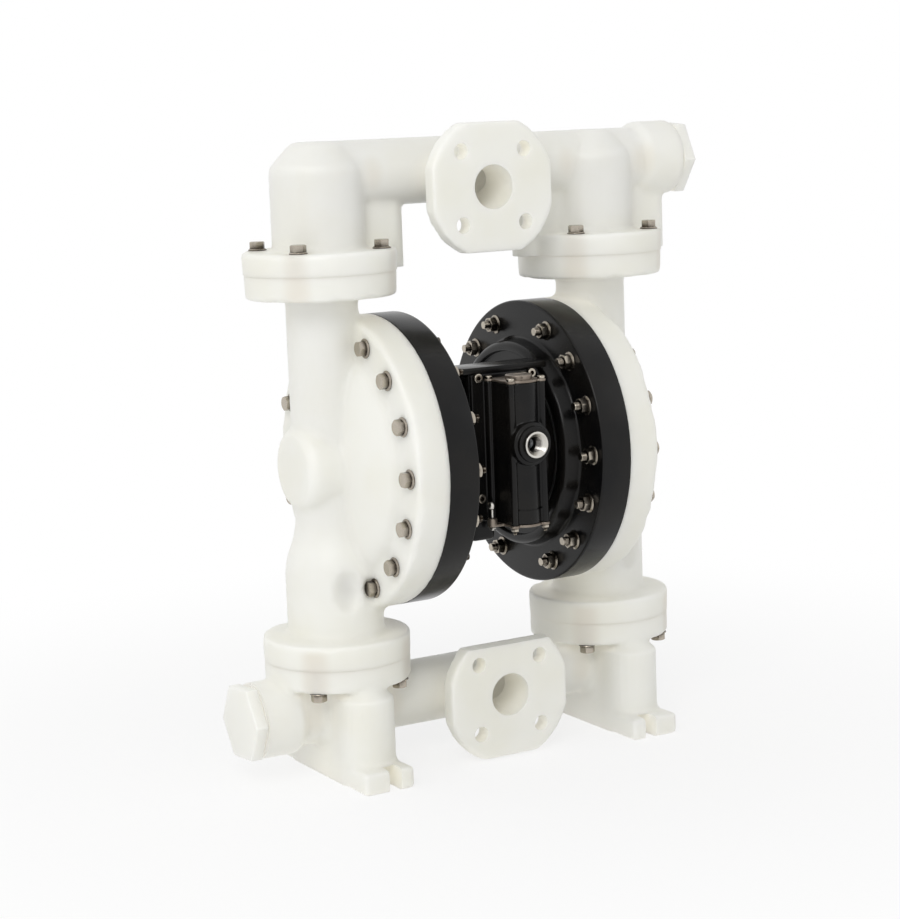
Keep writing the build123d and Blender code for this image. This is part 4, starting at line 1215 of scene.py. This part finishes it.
def coverHoles(low, high):
    hole = (valve["screwHole"], low - 5, high + 5)
    return [shape(bar, *hole, zAxis, (x, y, 0), steps=24) for x, y in valveScrewPlaces()]


# Top cover with a round button
topCap = {
    "button": 16,
    "buttonHeight": 5.5,
    "socket": 5,
    "socketDepth": 4,
    "sideHole": (1.8, 3, 249),  # radius, depth and direction
}


def makeTopCap():
    size = topCap
    low = valve["top"]
    high = low + valve["capThick"]
    bm = bmesh.new()
    addValveOutline(bm, valve["overhang"], valve["capBack"], low, high)
    piece = cast("valveTopCap", bm, brownMetal, pump["fineVoxel"] * 0.6, 1, 1)
    spool = (0, pump["spoolY"], 0)
    crownTop = high + size["buttonHeight"]
    socketEnd = crownTop - size["socketDepth"]
    crown = shape(turned, [
        (low + 1, 0),
        (low + 1, size["button"]),
        (crownTop, size["button"], 1.2),
        (crownTop, size["socket"], 0.6),
        (socketEnd, size["socket"]),
        (socketEnd, 0),
    ], zAxis, spool)
    combine(piece, [crown], "UNION")
    holes = coverHoles(low, high)
    sideHole, depth, angle = size["sideHole"]
    toSide = Vector((math.cos(math.radians(angle)), math.sin(math.radians(angle)), 0))
    hole = bmesh.new()
    start = Vector((0, pump["spoolY"], (high + crownTop) / 2)) + toSide * (size["button"] - depth)
    placed(hole, shape(bar, sideHole, 0, depth + 5, zAxis, (0, 0, 0), steps=24), aimed(start, toSide))
    combine(piece, holes + [hole])
    finishSurface(piece)
    return piece


# Bottom cover, and the reset pin in its boss
pin = {
    "x": -35,
    "y": -115.5,
    "radius": 2.5,
    "ball": (5, 319),
    "boss": (6, 304),
    "clip": (4.6, 291.7, 293.7),
    "tail": 289.7,
    "guide": (11.5, 312.7),
}


def makeBottomCap():
    size = pin
    high = valve["bottom"]
    low = high - valve["capThick"]
    bm = bmesh.new()
    addValveOutline(bm, valve["overhang"], valve["capBack"], low, high)
    radius, top = size["boss"]
    block(bm, (size["x"], size["y"] - radius, low), (0, size["y"] + radius, high))
    bar(bm, radius, low, top, zAxis, (size["x"], size["y"], 0))
    piece = cast("valveBottomCap", bm, brownMetal, pump["fineVoxel"] * 0.6, 1, 1)
    guide, guideTop = size["guide"]
    stem = shape(bar, guide, low + 1, guideTop, zAxis, (0, pump["spoolY"], 0), endRound=0.5)
    combine(piece, [stem], "UNION")
    pinHole = shape(bar, size["radius"] + 0.1, low - 5, top + 5, zAxis, (size["x"], size["y"], 0), steps=24)
    combine(piece, coverHoles(low, high) + [pinHole])
    finishSurface(piece)
    return piece


valveBody = makeValveBody()
fit(valveBody, "pump", "black_plastic", "valve_body")
fit(makeTopCap(), "pump", "cap_metal", "valve_top_cap")
fit(makeBottomCap(), "pump", "cap_metal", "valve_bottom_cap")
print("air valve cast,", len(valveBody.data.polygons), "faces")

# Threaded steel insert of the air inlet
insert = {
    "radius": 15.6,
    "front": -164,
    "end": -146,
    "bore": 9.3,
    "mouth": (13.5, 5),  # radius at the front, and depth of its chamfer
    "groove": 1,
    "pitch": 1.8,
}


def makeInsert():
    size = insert
    centre = (0, 0, valve["inletZ"])
    mouth, depth = size["mouth"]
    front, end = size["front"], size["end"]
    piece = makeObject("airInletInsert", shape(turned, [
        (front, size["radius"], 1),
        (end, size["radius"]),
        (end, size["bore"]),
        (front + depth, size["bore"]),
        (front, mouth, 0.6),
    ], yAxis, centre, steps=96), brightSteel)
    groove = bmesh.new()
    length = end - front - depth + 4
    threaded(groove, size["bore"] + size["groove"], size["pitch"], size["groove"], length, steps=64, rows=8)
    cutter = bmesh.new()
    placed(cutter, groove, aimed((0, front + depth - 2, valve["inletZ"]), yAxis))
    combine(piece, [cutter])
    finishSurface(piece, 30)
    return piece


def makePin():
    size = pin
    place = (size["x"], size["y"], 0)
    radius, height = size["ball"]
    bm = bmesh.new()
    centre = Matrix.Translation(Vector((size["x"], size["y"], height)) * mm)
    bmesh.ops.create_uvsphere(bm, u_segments=48, v_segments=24, radius=radius * mm, matrix=centre)
    bar(bm, size["radius"], size["tail"], height, zAxis, place, steps=32, endRound=0.4)
    clip, low, high = size["clip"]
    bar(bm, clip, low, high, zAxis, place, steps=6, endRound=0.3)
    return makeObject("resetPin", bm, brightSteel)


fit(makeInsert(), "pump", "insert_steel", "air_inlet_insert")
fit(makePin(), "reset_pin", "stainless", "reset_pin")
print("insert and reset pin ready")

# Flange bolts and nuts; each part is drawn once along +Z
bolt = {
    "corner": 9.6,
    "headTop": 10.5,
    "nutTop": 11,
    "flangeHeight": 2.5,
    "capFlange": 11.8,
    "manifoldFlange": 11,
    "capLength": 98,
    "tip": 8,
    "seat": 164,
    "nutSeat": 84,
    "upperSeat": 625,
    "lowerSeat": 114,
    "upperLength": 48,
    "lowerLength": 49,
}


# Hexagon along +Z with the rounded chamfer of its top
def hexagon(corner, height):
    bm = bmesh.new()
    points = [(corner * math.cos(math.radians(60 * side)), corner * math.sin(math.radians(60 * side)), 0)
              for side in range(6)]
    pushed(bm, points, 0.5, (0, 0, height))
    piece = makeObject("passing", bm, stainless, smooth=False)
    wide = corner * 1.3
    flat = corner * 0.82
    lens = shape(turned, [
        (-1, 0), (-1, wide), (height - (wide - flat) * 0.58, wide), (height, flat, 0.3), (height, 0),
    ], zAxis, (0, 0, 0), steps=72)
    combine(piece, [lens], "INTERSECT")
    made = piece.data
    bpy.data.objects.remove(piece)
    return made


# A hexagon on its round collar, as a flange nut is
def flangeNut(head, collar):
    bm = bmesh.new()
    bm.from_mesh(head)
    high = bolt["flangeHeight"]
    turned(bm, [
        (0, 0), (0, collar - 0.4), (0.9, collar, 0.3), (high, bolt["corner"] - 0.6, 0.4), (high + 0.5, 0),
    ], zAxis, (0, 0, 0), steps=48)
    return bm


# A flange bolt with its seat at the origin and its shank down -Z
def flangeBolt(head, collar, length, tip):
    bm = flangeNut(head, collar)
    thread = pump["thread"]
    bar(bm, thread["radius"], tip - length, 1, zAxis, (0, 0, 0), steps=32)
    end = bmesh.new()
    threaded(end, thread["radius"], thread["pitch"], thread["depth"], tip)
    placed(bm, end, aimed((0, 0, -length), zAxis))
    return bm


# Copies of one part, at all its places, as one piece
def gathered(name, part, matrices):
    mesh = bpy.data.meshes.new("passing")
    part.to_mesh(mesh)
    part.free()
    bm = bmesh.new()
    for matrix in matrices:
        copy = bmesh.new()
        copy.from_mesh(mesh)
        placed(bm, copy, matrix)
    bpy.data.meshes.remove(mesh)
    return makeObject(name, bm, stainless)


headMesh = hexagon(bolt["corner"], bolt["headTop"])
nutMesh = hexagon(bolt["corner"], bolt["nutTop"])
capPlaces = ringPlaces(pump["capBoltCircle"], pump["capBoltAngles"], pump["shaftZ"])
for sideName, side in (("right", 1), ("left", -1)):
    outward = xAxis * side
    seats = [
        aimed((side * bolt["seat"], y, z), outward, 17 * number % 60)
        for number, (y, z) in enumerate(capPlaces)
    ]
    part = flangeBolt(headMesh, bolt["capFlange"], bolt["capLength"], bolt["tip"])
    fit(gathered(sideName + "CapBolts", part, seats), "pump", "stainless", sideName + "_cap_bolts")
    seats = [
        aimed((side * bolt["nutSeat"], y, z), -outward, 23 * number % 60)
        for number, (y, z) in enumerate(capPlaces)
    ]
    part = flangeNut(nutMesh, bolt["capFlange"])
    fit(gathered(sideName + "CapNuts", part, seats), "pump", "stainless", sideName + "_cap_nuts")

flangeRows = (
    ("outletManifoldBolts", "outlet_manifold_bolts", bolt["upperSeat"], zAxis, bolt["upperLength"]),
    ("inletManifoldBolts", "inlet_manifold_bolts", bolt["lowerSeat"], -zAxis, bolt["lowerLength"]),
)
for name, replaced, height, direction, length in flangeRows:
    places = [(side * x, y) for side in (-1, 1) for x, y in flangePlaces()]
    seats = [aimed((x, y, height), direction, 19 * number % 60) for number, (x, y) in enumerate(places)]
    part = flangeBolt(headMesh, bolt["manifoldFlange"], length, bolt["tip"])
    fit(gathered(name, part, seats), "pump", "stainless", replaced)

valveScrew = {
    "radius": 2.5,
    "head": 4.6,
    "headHeight": 3.5,
    "socket": (2.2, 2.4, 2),  # radius at its bottom and its mouth, and its depth
    "grip": 19,
    "tip": 4,
    "pitch": 0.8,
    "groove": 0.4,
}


# Round-headed screws on top of the valve, hexagon nuts with bare tips below it
def makeValveScrews():
    size = valveScrew
    high = valve["top"] + valve["capThick"]
    low = valve["bottom"] - valve["capThick"]
    bm = bmesh.new()
    top = high + size["headHeight"]
    bottom, mouth, depth = size["socket"]
    for x, y in valveScrewPlaces():
        place = (x, y, 0)
        turned(bm, [
            (high - size["grip"], 0),
            (high - size["grip"], size["radius"]),
            (high, size["radius"]),
            (high, size["head"], 0.3),
            (top, size["head"], 1.2),
            (top, mouth, 0.2),
            (top - depth, bottom),
            (top - depth, 0),
        ], zAxis, place, steps=40)
        bar(bm, size["radius"], low - 1, low + size["grip"], zAxis, place, steps=24)
        bar(bm, size["head"], low - size["headHeight"], low, zAxis, place, steps=6, endRound=0.4)
        tip = bmesh.new()
        length = size["headHeight"] + size["tip"]
        threaded(tip, size["radius"], size["pitch"], size["groove"], length, steps=24)
        placed(bm, tip, aimed((x, y, low - length), zAxis))
    return makeObject("valveScrews", bm, stainless)


def makeMountScrews():
    size = mountScrew
    bm = bmesh.new()
    seat, end = size["seat"], size["end"]
    front = seat - size["height"]
    bottom, mouth, depth = size["socket"]
    for x, z in mountScrewPlaces():
        turned(bm, [
            (front + depth, 0),
            (front + depth, bottom),
            (front, mouth, 0.2),
            (front, size["radius"], 0.8),
            (seat, size["radius"], 0.3),
            (seat, size["shank"]),
            (end, size["shank"]),
            (end, 0),
        ], yAxis, (x, 0, z), steps=40)
    return makeObject("valveMountScrews", bm, stainless)


fit(makeValveScrews(), "pump", "stainless", "valve_screws")
fit(makeMountScrews(), "pump", "stainless", "valve_mount_screws")
print("bolts, nuts and screws ready")

# The photo's point of view, in metres
pointOfView = {
    "place": (-1.3736, -2.34095, 0.7924),
    "right": (0.8626, -0.5045, -0.0364),
    "up": (0.1111, 0.1187, 0.9867),
    "lens": 88.05,
    "sensor": 36,
}


def makeCamera():
    camera = bpy.data.objects.new("camera", bpy.data.cameras.new("camera"))
    bpy.context.scene.collection.objects.link(camera)
    camera.data.lens = pointOfView["lens"]
    camera.data.sensor_width = pointOfView["sensor"]
    camera.data.clip_end = 60
    right = Vector(pointOfView["right"]).normalized()
    up = Vector(pointOfView["up"])
    up = (up - right * up.dot(right)).normalized()
    turn = Matrix((right, up, right.cross(up))).transposed().to_4x4()
    camera.matrix_world = Matrix.Translation(pointOfView["place"]) @ turn
    bpy.context.scene.camera = camera


bpy.context.scene.view_settings.view_transform = "Standard"
makeCamera()

studio = {
    "sky": (0.56, 0.92),  # light from the right and from the left
    "keyPower": 34,
    "fillPower": 3,
    "floorColour": (0.94, 0.94, 0.94, 1),
    "floorLift": 0.74,  # how far the floor is lifted to white near the pump
    "floorFade": (0.35, 1.2),  # metres from the middle over which it turns all white
}


# 1 for what the camera, a gloss or a glass sees, 0 for light that falls on things
def seenDirectly(signal):
    node = signal.node("ShaderNodeLightPath").socket.node
    names = ("Is Camera Ray", "Is Glossy Ray", "Is Transmission Ray")
    camera, gloss, glass = (Signal(signal.tree, node.outputs[name]) for name in names)
    return signal.maths("MAXIMUM", signal.maths("MAXIMUM", camera, gloss), glass)


def makeSky():
    world = bpy.data.worlds.new("studio")
    bpy.context.scene.world = world
    world.use_nodes = True
    world.node_tree.nodes.clear()
    start = Signal(world.node_tree)
    direction = start.node("ShaderNodeTexCoord", output="Generated")
    side = start.node("ShaderNodeSeparateXYZ", {}, {0: direction})
    right, left = studio["sky"]
    shade = side.rise(0.9, -0.9) * (left - right) + right
    seen = seenDirectly(start)
    strength = seen + (1 - seen) * shade
    background = start.node("ShaderNodeBackground", {}, {"Color": (1, 1, 1, 1), "Strength": strength})
    out = world.node_tree.nodes.new("ShaderNodeOutputWorld")
    world.node_tree.links.new(background.socket, out.inputs["Surface"])


makeSky()


def softbox(name, place, aim, power, size):
    lamp = bpy.data.lights.new(name, "AREA")
    lamp.energy = power
    lamp.size = size
    made = bpy.data.objects.new(name, lamp)
    bpy.context.scene.collection.objects.link(made)
    direction = Vector(place) - Vector(aim)
    made.matrix_world = Matrix.Translation(place) @ direction.to_track_quat("Z", "Y").to_matrix().to_4x4()


softbox("keyLight", (-2.2, -2.4, 2.6), (0, 0, 0.4), studio["keyPower"], 1.6)
softbox("fillLight", (2.4, -1.8, 1.6), (0, 0, 0.35), studio["fillPower"], 1.6)


# A pale floor that keeps the pump's shadow and fades to white around it
def makeFloorPaint():
    material = bpy.data.materials.new("floorPaint")
    material.use_nodes = True
    tree = material.node_tree
    tree.nodes.clear()
    start = Signal(tree)
    where = objectPlace(start)
    distance = start.node("ShaderNodeVectorMath", {"operation": "LENGTH"}, {0: where}, output=1)
    near, far = studio["floorFade"]
    lift = distance.rise(near, far) * (1 - studio["floorLift"]) + studio["floorLift"]
    paint = start.node("ShaderNodeBsdfDiffuse", {}, {"Color": studio["floorColour"]})
    white = start.node("ShaderNodeEmission", {}, {"Color": (1, 1, 1, 1), "Strength": 1.0})
    shader = start.node("ShaderNodeMixShader", {}, {0: lift * seenDirectly(start), 1: paint, 2: white})
    out = tree.nodes.new("ShaderNodeOutputMaterial")
    tree.links.new(shader.socket, out.inputs["Surface"])
    return material


floorMesh = bmesh.new()
bmesh.ops.create_grid(floorMesh, x_segments=1, y_segments=1, size=30)
floor = makeObject("floor", floorMesh, makeFloorPaint())
print("camera, light and floor ready")
